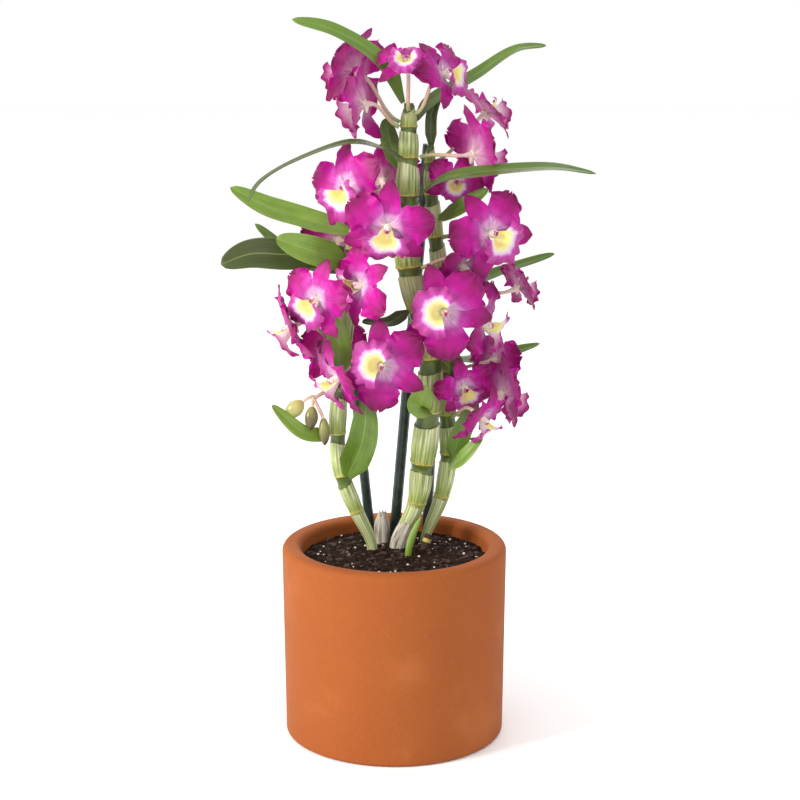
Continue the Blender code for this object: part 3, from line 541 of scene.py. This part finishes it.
def make_materials(finish):
    """Fill the table that pieces take their materials from."""
    for side, back in (("front", False), ("back", True)):
        MATERIALS["petal_" + side] = petal_tissue(finish, back)
        MATERIALS["lip_" + side] = lip_tissue(finish, back)
        MATERIALS["leaf_" + side] = leaf_skin(finish, back)
    MATERIALS.update({
        "column": column_tissue(), "stalk": stalk_skin(), "cane": cane_skin(), "clay": fired_clay(finish),
        "soil": potting_mix(), "perlite": perlite(), "bark": bark(), "stake": stake_plastic(),
        "dry": dry_sheath(), "bud": bud_skin(),
    })


def turns(sides):
    """Even steps of a full turn, in radians."""
    return [FULL_TURN * k / sides for k in range(sides)]


def band(first, sides):
    """The quads between a ring of points and the next ring."""
    pairs = [(first + k, first + (k + 1) % sides) for k in range(sides)]
    return [(a, b, b + sides, a + sides) for a, b in pairs]


def wrap(data, name):
    """Put a mesh, a lamp or a camera into the scene as an object."""
    item = bpy.data.objects.new(name, data)
    bpy.context.scene.collection.objects.link(item)
    return item


class Shape:
    """Points, faces, blade coordinates and materials gathered for one piece."""

    def __init__(self, *skins):
        self.skins = list(skins)
        self.points = []
        self.tones = []
        self.faces = []
        self.marks = []
        self.skin_of = []

    def point(self, place, tone=0.5):
        self.points.append(place)
        self.tones.append(tone)

    def face(self, corners, marks, skin):
        self.faces.append(corners)
        self.marks.extend(marks)
        self.skin_of.append(self.skins.index(skin))

    def blade(self, grid, thickness, under, over, tone):
        """A thin closed blade over a grid. Its over side is where rows x columns points."""
        rows = len(grid)
        columns = len(grid[0])
        top = {}
        low = {}
        for i in range(rows):
            for j in range(columns):
                place = grid[i][j]
                top[i, j] = low[i, j] = len(self.points)
                if i in (0, rows - 1) or j in (0, columns - 1):
                    self.point(place, tone)
                    continue
                along = grid[i + 1][j] - grid[i - 1][j]
                across = grid[i][j + 1] - grid[i][j - 1]
                edge = abs(2 * j / (columns - 1) - 1)
                offset = along.cross(across).normalized() * (thickness / 2 * (1 - 0.55 * edge ** 3))
                self.point(place - offset, tone)
                low[i, j] = len(self.points)
                self.point(place + offset, tone)
        for i in range(rows - 1):
            for j in range(columns - 1):
                corners = ((i, j), (i + 1, j), (i + 1, j + 1), (i, j + 1))
                marks = [(c / (columns - 1), r / (rows - 1)) for r, c in corners]
                self.face([top[c] for c in reversed(corners)], list(reversed(marks)), under)
                self.face([low[c] for c in corners], marks, over)

    def tube(self, path, radii, sides, skin, tone=0.5, marks=None, reach=None):
        """A closed tube. reach(k, turn) may stretch a ring's radius and shift it along the path."""
        path = [Vector(p) for p in path]
        first = len(self.points)
        side = None
        count = len(path)
        marks = marks or [k / (count - 1) for k in range(count)]
        for k, place in enumerate(path):
            along = (path[min(k + 1, count - 1)] - path[max(k - 1, 0)]).normalized()
            if side is None:
                side = Vector((1, 0, 0)) if abs(along.x) < 0.8 else Vector((0, 1, 0))
            side = (side - along * side.dot(along)).normalized()
            other = along.cross(side)
            for turn in turns(sides):
                wide, shift = reach(k, turn) if reach else (1.0, 0.0)
                ray = side * math.cos(turn) + other * math.sin(turn)
                self.point(place + ray * radii[k] * wide + along * shift, tone)
        for k in range(count - 1):
            for n, quad in enumerate(band(first + k * sides, sides)):
                left, right = n / sides, (n + 1) / sides
                edge = [(left, marks[k]), (right, marks[k]), (right, marks[k + 1]), (left, marks[k + 1])]
                self.face(quad, edge, skin)
        last = first + (count - 1) * sides
        self.face(range(first + sides - 1, first - 1, -1), [(0.5, marks[0])] * sides, skin)
        self.face(range(last, last + sides), [(0.5, marks[-1])] * sides, skin)

    def build(self, name, slot, *nodes, sharp=60):
        """Make the object, in metres, hang it on the root and hide the solids that it stands for."""
        mesh = bpy.data.meshes.new(name)
        mesh.from_pydata([p * MM for p in self.points], [], self.faces)
        layer = mesh.uv_layers.new(name="blade")
        layer.data.foreach_set("uv", [c for mark in self.marks for c in mark])
        mesh.polygons.foreach_set("material_index", self.skin_of)
        tone = mesh.attributes.new("tone", "FLOAT", "POINT")
        tone.data.foreach_set("value", self.tones)
        for skin in self.skins:
            mesh.materials.append(MATERIALS[skin])
        mesh.shade_smooth()
        mesh.set_sharp_from_angle(angle=math.radians(sharp))
        item = wrap(mesh, name)
        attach(item, "root")
        for node in nodes:
            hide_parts(node)


def smooth_path(knots, share):
    """A value on a smooth curve through the knots, with share running from 0 to 1."""
    spans = len(knots) - 1
    place = min(share * spans, spans - 1e-6)
    k = int(place)
    t = place - k
    b = knots[k]
    c = knots[k + 1]
    a = knots[k - 1] if k > 0 else b * 2 - c
    d = knots[k + 2] if k + 2 <= spans else c * 2 - b
    return 0.5 * (2 * b + (c - a) * t + (2 * a - 5 * b + 4 * c - d) * t * t
                  + (3 * b - a - 3 * c + d) * t * t * t)


def swept(knots, radii, steps):
    """Places and radii at even shares of a smooth curve through a few of each."""
    knots = [Vector(p) for p in knots]
    shares = [k / steps for k in range(steps + 1)]
    return [smooth_path(knots, s) for s in shares], [smooth_path(radii, s) for s in shares]


def curve_between(start, leave, end, arrive, steps):
    """Points on a smooth stalk that leaves and arrives in the given directions."""
    pull = (end - start).length * 0.35
    a = start + leave * pull
    b = end - arrive * pull
    found = []
    for k in range(steps + 1):
        t = k / steps
        s = 1 - t
        found.append(start * s ** 3 + a * 3 * s * s * t + b * 3 * s * t * t + end * t ** 3)
    return found


def from_cane(cane, height, towards):
    """Where a stalk leaves a cane on its way to a point, and the direction."""
    joints = CANES[cane]
    for low, high in zip(joints, joints[1:]):
        if height <= high[2]:
            break
    t = min(max((height - low[2]) / (high[2] - low[2]), 0.0), 1.0)
    *middle, radius = [a + (b - a) * t for a, b in zip(low, high)]
    middle = Vector(middle)
    out = Vector(towards) - middle
    out.z = 0.0
    out.normalize()
    return middle + out * (radius * 1.07 + GAP), out


def bloom_frame(centre, compass, up_tilt, turn):
    """The bloom's own frame: X right, Y to the top sepal, Z out of the face."""
    a = math.radians(compass)
    e = math.radians(up_tilt)
    front = Vector((math.sin(a) * math.cos(e), -math.cos(a) * math.cos(e), math.sin(e)))
    right = Vector((0, 0, 1)).cross(front).normalized()
    top = front.cross(right).normalized()
    place = Matrix((right, top, front)).transposed().to_4x4()
    return Matrix.Translation(Vector(centre)) @ place @ Matrix.Rotation(math.radians(turn), 4, "Z"), front


def tepal_outline(u, foot, widest, blunt):
    """Half width against length, as a share."""
    rise = min(u / widest, 1.0)
    rise = rise * rise * (3 - 2 * rise)
    past = max(0.0, (u - widest) / (1 - widest))
    return (foot + (1 - foot) * rise) * math.sqrt(1 - (0.985 * past) ** blunt)


def tepal(angle, size, shape, draw, frill, rows):
    """One sepal or petal as a fine grid, on the same surface as its solid."""
    length = shape["length"] * size * TEPAL_LONGER
    half = shape["width"] * size / 2 * TEPAL_WIDER
    out = Vector((math.cos(angle), math.sin(angle), 0))
    side = Vector((-math.sin(angle), math.cos(angle), 0))
    front = Vector((0, 0, 1))
    bend = draw.uniform(*shape["bend"])
    phase = draw.uniform(0, FULL_TURN)
    columns = shape["columns"]
    fine = frill * shape["frill"]
    grid = []
    for i in range(rows + 1):
        u = i / rows
        edge = half * tepal_outline(u, *shape["outline"]) * (1 + shape["edge"] * math.sin(23 * u + phase))
        row = []
        for j in range(columns + 1):
            v = 2 * j / columns - 1
            scallop = fine * shape["scallop"] * max(0.0, u - 0.6) * math.sin(11 * v + phase)
            reach = 1.0 + u * length * (1 - 0.06 * v * v) + scallop
            wave = shape["wave"] * math.sin(7.5 * u + 2.1 * v + phase) * v * v * u
            depth = shape["lift"] + length * (0.10 * math.sin(math.pi * u) + bend * u * u + wave)
            depth += shape["cup"] * half * v * v
            ruffle = math.sin(17 * u + 3.1 * v + phase) + 0.6 * math.sin(29 * u - 4.0 * v + 2 * phase)
            depth += fine * ruffle * abs(v) ** 2.5 * min(1.0, 1.6 * u)
            groove = 0.35 * math.exp(-(v / 0.10) ** 2) * (1 - u)
            row.append(out * reach + side * edge * v + front * (depth - groove))
        grid.append(row)
    return grid


def lip_size(u):
    """Radius, depth and open angle of the lip, first along its tube and then its limb."""
    if u < LIP_MOUTH:
        t = u / LIP_MOUTH
        return LIP_FOOT + (LIP_THROAT - LIP_FOOT) * t ** 0.8, 1 + (LIP_TUBE - 1) * t, 200 + 58 * t
    t = (u - LIP_MOUTH) / (1 - LIP_MOUTH)
    depth = LIP_TUBE + 2.5 * math.sin(t * math.pi / 2) + 1.2 * math.sin(math.pi * t)
    return LIP_THROAT + (LIP_LIMB - LIP_THROAT) * t, depth, 258 - 8 * t


def lip(size, draw, frill):
    """The lip: a short tube round the column that opens to a wide frilled limb."""
    along = Vector((0, -0.34, 0.94)).normalized()
    down = Vector((0, -0.94, -0.34)).normalized()
    side = Vector((1, 0, 0))
    phase = draw.uniform(0, FULL_TURN)
    rows = 26
    columns = 64
    grid = []
    for i in range(rows + 1):
        u = i / rows
        radius, depth, span = lip_size(u)
        flare = max(0.0, (u - LIP_MOUTH) / (1 - LIP_MOUTH))
        row = []
        for j in range(columns + 1):
            turn = math.radians(span / 2) * (2 * j / columns - 1)
            spread = -0.08 + 0.16 * math.cos(turn) + 0.05 * math.sin(5 * turn + phase)
            wide = radius * (1 + flare * spread)
            deep = depth + flare * (1.6 * math.sin(4 * turn + phase) - 1.5 * math.cos(turn))
            waves = math.sin(13 * turn + phase) + 0.5 * math.sin(8 * turn - phase)
            deep += frill * flare ** 2.5 * waves * (0.7 + 0.3 * math.sin(3 * turn + 2 * phase))
            teeth = 1.0 + 0.45 * math.sin(11 * turn + 2 * phase) + 0.3 * math.sin(19 * turn)
            wide += frill * flare ** 3 * teeth
            row.append((along * deep + (down * math.cos(turn) + side * math.sin(turn)) * wide) * size)
        grid.append(row)
    return grid


def add_stalk(piece, hub, front, cane, joint, tone):
    """The stalk from the cane's joint, which swells to the ovary behind the bloom."""
    start, leave = from_cane(cane, joint, hub)
    leave = (leave + Vector((0, 0, 0.35))).normalized()
    path = curve_between(start, leave, hub - front * 4.5, front, 12)
    ends = len(path) - 1
    radii = [PEDICEL_RADIUS * (1.15 - 0.15 * min(1.0, 4 * k / ends)) for k in range(ends)]
    piece.tube(path + [hub + front * 0.5], radii + [OVARY_RADIUS, HUB_RADIUS * 0.8], 12, "stalk", tone)


def add_spur_and_column(piece, hub, front, up, size, tone):
    """The blunt spur under the bloom, and the column in its middle."""
    spur = [hub - front * 2.0, hub - front - up * 3.2 * size, hub - front * 2.2 - up * 6.0 * size]
    piece.tube(spur, [2.2 * size, 1.9 * size, 0.8 * size], 12, "stalk", tone, marks=[0.9, 0.95, 1.0])
    column = [hub - front, hub + front * 3 * size, hub + (front * 6 + up * 0.3) * size,
              hub + (front * COLUMN_LENGTH + up * 0.2) * size, hub + front * (COLUMN_LENGTH + 1.2) * size]
    widths = [HUB_RADIUS] + [COLUMN_RADIUS * share for share in (1.05, 1.0, 0.95, 0.45)]
    piece.tube(column, widths, 14, "column", tone)


def build_bloom(name, sizes):
    """One fine bloom: the same draws and places as its solid, with frills and veins."""
    centre, compass, up_tilt, turn, size, cane, joint = BLOOMS[name]
    draw = random.Random(name)
    shades = random.Random(name + "tone")
    tone = shades.uniform(0.3, 0.75)
    place, front = bloom_frame(centre, compass, up_tilt, turn)
    frill = sizes.frill / MM
    thick = sizes.blade / MM
    piece = Shape("petal_front", "petal_back", "lip_front", "lip_back", "column", "stalk")
    for degrees, shape in TEPALS:
        angle = math.radians(degrees + draw.uniform(-6, 6))
        grid = tepal(angle, size, shape, draw, frill, sizes.rows)
        own = tone + shades.uniform(-0.16, 0.16)
        piece.blade([[place @ p for p in row] for row in grid], thick, "petal_back", "petal_front", own)
    mouth = [[place @ p for p in row] for row in lip(size, draw, frill)]
    piece.blade(mouth, thick * 1.1, "lip_back", "lip_front", tone)
    hub = Vector(centre)
    add_stalk(piece, hub, front, cane, joint, tone)
    add_spur_and_column(piece, hub, front, place.to_3x3() @ Vector((0, 1, 0)), size, tone)
    piece.build(name + "_fine", "petal", name, sharp=70)


def leaf_width(u):
    """A strap leaf: a narrow foot, even sides and a blunt point."""
    return min(1.0, 0.34 + 3.2 * u) * max(0.0, 1 - u ** 4) ** 0.55 + 0.05 * u


def build_leaf(name, sizes):
    """One fine strap leaf with a sunk rib and a slight wave."""
    cane, joint, knots, face, width, age = LEAVES[name]
    start, leave = from_cane(cane, joint, knots[0])
    ribs = [start] + [Vector(k) for k in knots]
    face = Vector(face).normalized()
    phase = random.Random(name).uniform(0, FULL_TURN)
    rows = 34
    columns = 12
    grid = []
    for i in range(rows + 1):
        u = i / rows
        here = smooth_path(ribs, u)
        along = (smooth_path(ribs, min(u + 0.02, 1.0)) - smooth_path(ribs, max(u - 0.02, 0.0))).normalized()
        across = along.cross(face).normalized()
        normal = across.cross(along).normalized()
        half = width / 2 * leaf_width(u)
        row = []
        for j in range(columns + 1):
            v = 2 * j / columns - 1
            curl = 0.5 * math.sin(9 * u + 2 * v + phase) * v * v
            fold = LEAF_FOLD * half * abs(v) ** 1.3
            row.append(here + across * half * v + normal * (fold + curl))
        grid.append(row)
    piece = Shape("leaf_front", "leaf_back")
    piece.blade(grid, sizes.leaf / MM, "leaf_front", "leaf_back", age)
    piece.build(name + "_fine", "leaf", name)


def build_cane(name):
    """One fine cane: scar rings, torn sheath mouths and swollen sheaths on a smooth line."""
    joints = CANES[name]
    spans = len(joints) - 1
    draw = random.Random(name)
    middles = [Vector(j[:3]) for j in joints]
    # Each ring: its place, its radius, its mark on the blade and how far its mouth leans.
    rings = [(middles[0], joints[0][3], 0.45, 0.0), (middles[1], joints[1][3], 0.50, 0.0)]
    for k in range(1, spans):
        lean = draw.choice((-1, 1)) * draw.uniform(1.2, 3.2)
        bare = k < CANE_FIRST_RING
        for share, thick in CANE_PROFILE:
            if bare and share < 0.2:
                continue
            radius = joints[k][3] + (joints[k + 1][3] - joints[k][3]) * share
            rings.append((smooth_path(middles, (k + share) / spans), radius * (1.0 if bare else thick),
                          0.50 + 0.20 * share if bare else k + share,
                          lean * max(0.0, 1 - abs(share - SHEATH_MOUTH) / 0.25)))
    rings.append((middles[-1], joints[-1][3], spans - 0.01, 0.0))
    path, radii, marks, leans = zip(*rings)
    phase = draw.uniform(0, 6)

    def reach(k, turn):
        wide = 1 + 0.012 * math.sin(7 * turn + phase) + 0.008 * math.sin(13 * turn - phase)
        if 0.01 < marks[k] % 1 < 0.04:
            wide += 0.02 * math.sin(19 * turn + 3 * marks[k])
        return wide, leans[k] * math.cos(turn - 0.9)

    piece = Shape("cane", "dry")
    piece.tube(path, radii, 40, "cane", marks=marks, reach=reach)
    if name == "cane_middle":
        add_husk(piece)
    piece.build(name + "_fine", "cane", name, sharp=40)


def add_husk(piece):
    """The bleached, split husk that clasps the cane's foot."""
    path, radii = swept(HUSK_PATH, HUSK_RADII, 14)

    def reach(k, turn):
        torn = 2.2 * math.sin(3 * turn + 0.6) + 0.8 * math.sin(11 * turn) if k > 11 else 0.0
        return 1 + 0.05 * math.sin(8 * turn) + 0.03 * math.sin(15 * turn + k * 0.3), torn

    piece.tube(path, radii, 40, "dry", reach=reach)


def build_stub():
    """The dry back bulb with its pleated, frayed sheath."""
    path, radii = swept(STUB_PATH, STUB_RADII, 24)

    def reach(k, turn):
        fray = 1.6 * math.sin(5 * turn + 1) if k > 21 else 0.0
        return 1 + 0.06 * math.sin(9 * turn) + 0.04 * math.sin(17 * turn + k * 0.2), fray

    piece = Shape("dry")
    piece.tube(path, radii, 40, "dry", reach=reach)
    piece.build("back_bulb_fine", "dry_sheath", "back_bulb")


def build_cut_stub():
    """An old cane cut off short: dark dry wood with one bright scar ring."""
    path, radii = swept(CUT_PATH, CUT_RADII, 10)
    piece = Shape("bark", "cane")
    piece.tube(path, radii, 24, "bark")
    ring = [smooth_path([Vector(p) for p in CUT_PATH], share) for share in CUT_RING]
    piece.tube(ring, CUT_RING_RADII, 24, "cane", marks=[5.01, 5.03])
    piece.build("cut_stub", "cane", sharp=40)


def build_shoot():
    """The young shoot: two small leaves folded round each other."""
    path, radii = swept(SHOOT_PATH, SHOOT_RADII, 20)

    def reach(k, turn):
        return 1 + 0.10 * math.sin(2 * turn + k * 0.12), 0.0

    piece = Shape("leaf_front")
    piece.tube(path, radii, 20, "leaf_front", tone=-0.05, reach=reach)
    piece.build("young_shoot_fine", "leaf", "young_shoot")


def build_stake(name):
    """A stake with fine length ribs and a cross knurl every few millimetres."""
    foot, top, radius = STAKES[name]
    clear = Vector((foot[0], foot[1], STEM_CLEAR))
    top = Vector(top)
    steps = int((top - clear).length / STAKE_KNURL)
    path = [Vector(foot)] + [clear.lerp(top, k / steps) for k in range(steps + 1)]
    radii = [radius] * (len(path) - 1) + [radius * 0.96]

    def reach(k, turn):
        knurl = 1.0 if k % 4 else 0.975
        return (1 + 0.05 * math.cos(8 * turn)) * knurl * 0.97, 0.0

    piece = Shape("stake")
    piece.tube(path, radii, 32, "stake", reach=reach)
    piece.build(name + "_fine", "stake", name, sharp=50)


def build_buds():
    """The bud spray: forked stalk and three waxy buds with faint seams."""
    fork = Vector(BUD_FORK)
    start, leave = from_cane("cane_left", BUD_JOINT, fork)
    knots = [start, (start + fork) / 2 + Vector((0, 0, 1.5)), fork, fork + (fork - start) * 0.08]
    piece = Shape("stalk", "bud")
    piece.tube([smooth_path(knots, k / 12) for k in range(13)], [BUD_STALK * 1.2] * 12 + [BUD_STALK],
               12, "stalk")

    def reach(k, turn):
        return 1 + 0.035 * math.cos(3 * turn), 0.0

    shares = [k / 16 for k in range(17)]
    outline = [max(0.14, math.sin(math.pi * min(1, s * 0.93 + 0.06)) ** 0.62) for s in shares]
    for centre, direction, thick, length, ripe in BUDS:
        along = Vector(direction).normalized()
        foot = Vector(centre) - along * length * 0.42
        stalk = curve_between(fork, Vector((-0.6, -0.2, 0.4)).normalized(), foot, along, 8)
        piece.tube(stalk, [BUD_STALK] * 9, 12, "stalk")
        path = [Vector(centre) + along * length * (s - 0.5) for s in shares]
        piece.tube(path, [thick / 2 * wide for wide in outline], 24, "bud", tone=ripe, reach=reach)
    piece.build("bud_spray_fine", "bud", "bud_spray")


def arc(middle, height, radius, start, end, steps):
    """Points (radius, height) on an arc, its angles in degrees."""
    bends = [math.radians(start + (end - start) * k / steps) for k in range(steps + 1)]
    return [(middle + radius * math.cos(a), height + radius * math.sin(a)) for a in bends]


def drill(pot, turn):
    """Cut one drain hole through the pot's floor."""
    mesh = bpy.data.meshes.new("drain_cutter")
    work = bmesh.new()
    place = Vector((math.cos(turn) * DRAIN_CIRCLE, math.sin(turn) * DRAIN_CIRCLE, POT_FLOOR / 2)) * MM
    bmesh.ops.create_cone(work, cap_ends=True, segments=32, radius1=DRAIN_RADIUS * MM,
                          radius2=DRAIN_RADIUS * MM, depth=3 * POT_FLOOR * MM,
                          matrix=Matrix.Translation(place))
    work.to_mesh(mesh)
    work.free()
    cutter = wrap(mesh, "drain_cutter")
    cut = pot.modifiers.new("drain", "BOOLEAN")
    cut.object = cutter
    cut.solver = "EXACT"
    bpy.context.view_layer.update()
    graph = bpy.context.evaluated_depsgraph_get()
    done = bpy.data.meshes.new_from_object(pot.evaluated_get(graph))
    pot.modifiers.clear()
    pot.data = done
    bpy.data.objects.remove(cutter, do_unlink=True)


def build_pot():
    """The fine pot: a smooth turned wall with its soft rim and drain holes."""
    sides = 144
    foot = POT_FOOT_ROUND
    rim = POT_RIM_ROUND
    profile = [(POT_MIDDLE, 0.0)] + arc(POT_RADIUS - foot, foot, foot, -90, 0, 6)
    profile += arc(POT_RIM_RADIUS - rim, POT_HEIGHT - rim, rim, 0, 90, 10)
    profile += arc(POT_INNER_TOP + rim, POT_HEIGHT - rim, rim, 90, 180, 8)
    profile += [(POT_INNER_FLOOR, POT_FLOOR), (POT_MIDDLE, POT_FLOOR)]
    points = [Vector((radius * math.cos(turn), radius * math.sin(turn), height)) * MM
              for radius, height in profile for turn in turns(sides)]
    last = (len(profile) - 1) * sides
    faces = [quad for first in range(0, last, sides) for quad in band(first, sides)]
    faces += [tuple(reversed(range(sides))), tuple(range(last, last + sides))]
    mesh = bpy.data.meshes.new("pot_fine")
    mesh.from_pydata(points, [], faces)
    pot = wrap(mesh, "pot_fine")
    for k in range(DRAIN_COUNT):
        drill(pot, FULL_TURN * (k + 0.25) / DRAIN_COUNT)
    pot.data.shade_smooth()
    pot.data.set_sharp_from_angle(angle=math.radians(40))
    pot.data.materials.clear()
    pot.data.materials.append(MATERIALS["clay"])
    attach(pot, "root")
    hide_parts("pot")


def soil_height(x, y):
    """The soil's surface: a low mound with lumps and fine crumbs."""
    share = math.hypot(x, y) / POT_INNER_TOP
    lump = math.sin(x * 0.31 + 1.3) * math.cos(y * 0.27 - 0.6) + 0.6 * math.sin(x * 0.17 - y * 0.44)
    spot = Vector((x, y, 0))
    crumb = 1.3 * noise.noise(spot * 0.35) + 1.0 * noise.noise(spot * 0.9) + 0.6 * noise.noise(spot * 2.1)
    return SOIL_EDGE + SOIL_MOUND * (1 - share * share) + SOIL_LUMP * lump + crumb


def build_soil():
    """The potting mix with its crumbly top, and the grains that lie on it."""
    inner_slope = (POT_INNER_TOP - POT_INNER_FLOOR) / (POT_HEIGHT - POT_FLOOR)
    wide = POT_INNER_TOP - GAP - inner_slope * (POT_HEIGHT - SOIL_EDGE)
    narrow = POT_INNER_FLOOR - GAP
    low = POT_FLOOR + GAP
    sides = 200
    rings = 74
    piece = Shape("soil")
    piece.point(Vector((0, 0, low)))
    for turn in turns(sides):
        piece.point(Vector((narrow * math.cos(turn), narrow * math.sin(turn), low)))
    for ring in range(rings):
        share = 1 - ring / rings
        for turn in turns(sides):
            x = wide * share * math.cos(turn)
            y = wide * share * math.sin(turn)
            piece.point(Vector((x, y, soil_height(x, y))))
    piece.point(Vector((0, 0, soil_height(0, 0))))
    top = len(piece.points) - 1
    quads = [quad for ring in range(rings) for quad in band(1 + ring * sides, sides)]
    fans = [(0, b, a) for a, b, c, d in band(1, sides)]
    fans += [(a, b, top) for a, b, c, d in band(top - sides, sides)]
    for corners in quads + fans:
        piece.face(corners, [(0.5, 0.5)] * len(corners), "soil")
    piece.build("soil_fine", "soil", "soil", sharp=80)
    build_grains(wide)


def add_grain(piece, place, size, stretch, draw, skin):
    """One rough grain: a small ball pushed out of round."""
    work = bmesh.new()
    bmesh.ops.create_icosphere(work, subdivisions=2, radius=1.0)
    spin = Matrix.Rotation(draw.uniform(0, 6.28), 3, "Z") @ Matrix.Rotation(draw.uniform(-0.5, 0.5), 3, "X")
    shift = Vector((draw.uniform(0, 99), draw.uniform(0, 99), 0))
    first = len(piece.points)
    for vert in work.verts:
        rough = 1 + 0.35 * noise.noise(vert.co * 1.7 + shift)
        piece.point(place + spin @ (vert.co * Vector(stretch)) * rough * size)
    work.verts.index_update()
    for face in work.faces:
        piece.face([first + v.index for v in face.verts], [(0.5, 0.5)] * len(face.verts), skin)
    work.free()


def build_grains(wide):
    """Perlite and bark on the soil, thrown by a seeded draw and kept off the wall."""
    draw = random.Random("grains")
    piece = Shape("perlite", "bark")
    for number in range(GRAIN_COUNT):
        turn = draw.uniform(0, FULL_TURN)
        far = (wide - GRAIN_CLEAR_OF_WALL) * math.sqrt(draw.uniform(0, 1))
        x = far * math.cos(turn)
        y = far * math.sin(turn)
        if number % GRAINS_PER_PERLITE == 0:
            skin = "perlite"
            size = draw.uniform(0.5, 1.15)
            stretch = (1, 1, 0.8)
        else:
            skin = "bark"
            size = draw.uniform(0.8, 2.0)
            stretch = (draw.uniform(0.8, 1.9), draw.uniform(0.5, 1.0), draw.uniform(0.4, 0.8))
        add_grain(piece, Vector((x, y, soil_height(x, y) + size * 0.15)), size, stretch, draw, skin)
    piece.build("soil_grains", "soil", sharp=80)


class OrchidOperator:
    """What the operators share."""

    bl_options = {"REGISTER", "UNDO"}


class ORCHID_OT_materials(OrchidOperator, bpy.types.Operator):
    """Make the finishes of the plant, the soil and the pot"""

    bl_idname = "orchid.materials"
    bl_label = "Finishes"

    def execute(self, context):
        make_materials(context.scene.orchid_finish)
        return {"FINISHED"}


class ORCHID_OT_pot(OrchidOperator, bpy.types.Operator):
    """Turn the terracotta pot and fill it with potting mix"""

    bl_idname = "orchid.pot"
    bl_label = "Pot and soil"

    def execute(self, context):
        build_pot()
        build_soil()
        return {"FINISHED"}


class ORCHID_OT_canes(OrchidOperator, bpy.types.Operator):
    """Grow the jointed canes, the back bulb and the young shoot"""

    bl_idname = "orchid.canes"
    bl_label = "Canes"

    def execute(self, context):
        for name in CANES:
            build_cane(name)
        build_stub()
        build_cut_stub()
        build_shoot()
        return {"FINISHED"}


class ORCHID_OT_stakes(OrchidOperator, bpy.types.Operator):
    """Set the ribbed stakes behind the canes"""

    bl_idname = "orchid.stakes"
    bl_label = "Stakes"

    def execute(self, context):
        for name in STAKES:
            build_stake(name)
        return {"FINISHED"}


class ORCHID_OT_leaves(OrchidOperator, bpy.types.Operator):
    """Grow the strap leaves"""

    bl_idname = "orchid.leaves"
    bl_label = "Leaves"

    def execute(self, context):
        for name in LEAVES:
            build_leaf(name, context.scene.orchid_sizes)
        return {"FINISHED"}


class ORCHID_OT_blooms(OrchidOperator, bpy.types.Operator):
    """Open the blooms and hang the bud spray"""

    bl_idname = "orchid.blooms"
    bl_label = "Blooms and buds"

    def execute(self, context):
        for name in BLOOMS:
            build_bloom(name, context.scene.orchid_sizes)
        build_buds()
        return {"FINISHED"}


def lay_floor():
    """A wide sheet of pale paper, just under the pot."""
    mesh = bpy.data.meshes.new("floor")
    corners = [(-FLOOR_HALF, -FLOOR_HALF, 0), (FLOOR_HALF, -FLOOR_HALF, 0),
               (FLOOR_HALF, FLOOR_HALF, 0), (-FLOOR_HALF, FLOOR_HALF, 0)]
    mesh.from_pydata(corners, [], [(0, 1, 2, 3)])
    paper = {"Base Color": linear("#FEFEFE"), "Roughness": 0.8}
    mesh.materials.append(Surface("floor_pale_paper", paper).made)
    floor = wrap(mesh, "floor")
    floor.location.z = -FLOOR_BELOW


def hang_light(name):
    """One square area light, turned to its aim."""
    place, aim, power, size, colour = LIGHTS[name]
    data = bpy.data.lights.new(name, "AREA")
    data.energy = power
    data.size = size
    data.color = linear(colour)[:3]
    lamp = wrap(data, name)
    lamp.location = place
    lamp.rotation_euler = (Vector(aim) - Vector(place)).to_track_quat("-Z", "Y").to_euler()


class ORCHID_OT_stage(OrchidOperator, bpy.types.Operator):
    """Set the pale floor, the soft lights and the camera"""

    bl_idname = "orchid.stage"
    bl_label = "Stage"

    def execute(self, context):
        scene = context.scene
        lay_floor()
        scene.world = bpy.data.worlds.new("studio")
        scene.world.use_nodes = True
        sky = scene.world.node_tree.nodes["Background"]
        sky.inputs["Color"].default_value = linear("#FFFFFF")
        sky.inputs["Strength"].default_value = 1.0
        for name in LIGHTS:
            hang_light(name)
        data = bpy.data.cameras.new("camera")
        data.sensor_width = 36.0
        data.lens = CAMERA_LENS
        scene.camera = wrap(data, "camera")
        scene.camera.location = CAMERA_PLACE
        scene.camera.rotation_euler = (math.radians(90 - CAMERA_PITCH), 0, 0)
        scene.view_settings.view_transform = "Standard"
        return {"FINISHED"}


STEPS = ("orchid.materials", "orchid.pot", "orchid.canes", "orchid.stakes", "orchid.leaves",
         "orchid.blooms", "orchid.stage")


class ORCHID_PT_panel(bpy.types.Panel):
    """The orchid's pieces, sizes and colours"""

    bl_idname = "ORCHID_PT_panel"
    bl_label = "Potted orchid"
    bl_space_type = "VIEW_3D"
    bl_region_type = "UI"
    bl_category = "Orchid"

    def draw(self, context):
        for step in STEPS:
            self.layout.operator(step)
        for group in (context.scene.orchid_sizes, context.scene.orchid_finish):
            for key in group.__annotations__:
                self.layout.prop(group, key)


CLASSES = (OrchidFinish, OrchidSizes, ORCHID_OT_materials, ORCHID_OT_pot, ORCHID_OT_canes,
           ORCHID_OT_stakes, ORCHID_OT_leaves, ORCHID_OT_blooms, ORCHID_OT_stage, ORCHID_PT_panel)


def register():
    for item in CLASSES:
        bpy.utils.register_class(item)
    bpy.types.Scene.orchid_finish = PointerProperty(type=OrchidFinish)
    bpy.types.Scene.orchid_sizes = PointerProperty(type=OrchidSizes)


def unregister():
    del bpy.types.Scene.orchid_sizes
    del bpy.types.Scene.orchid_finish
    for item in reversed(CLASSES):
        bpy.utils.unregister_class(item)


def main():
    register()
    for step in STEPS:
        group, name = step.split(".")
        getattr(getattr(bpy.ops, group), name)()


if __name__ == "__main__":
    main()
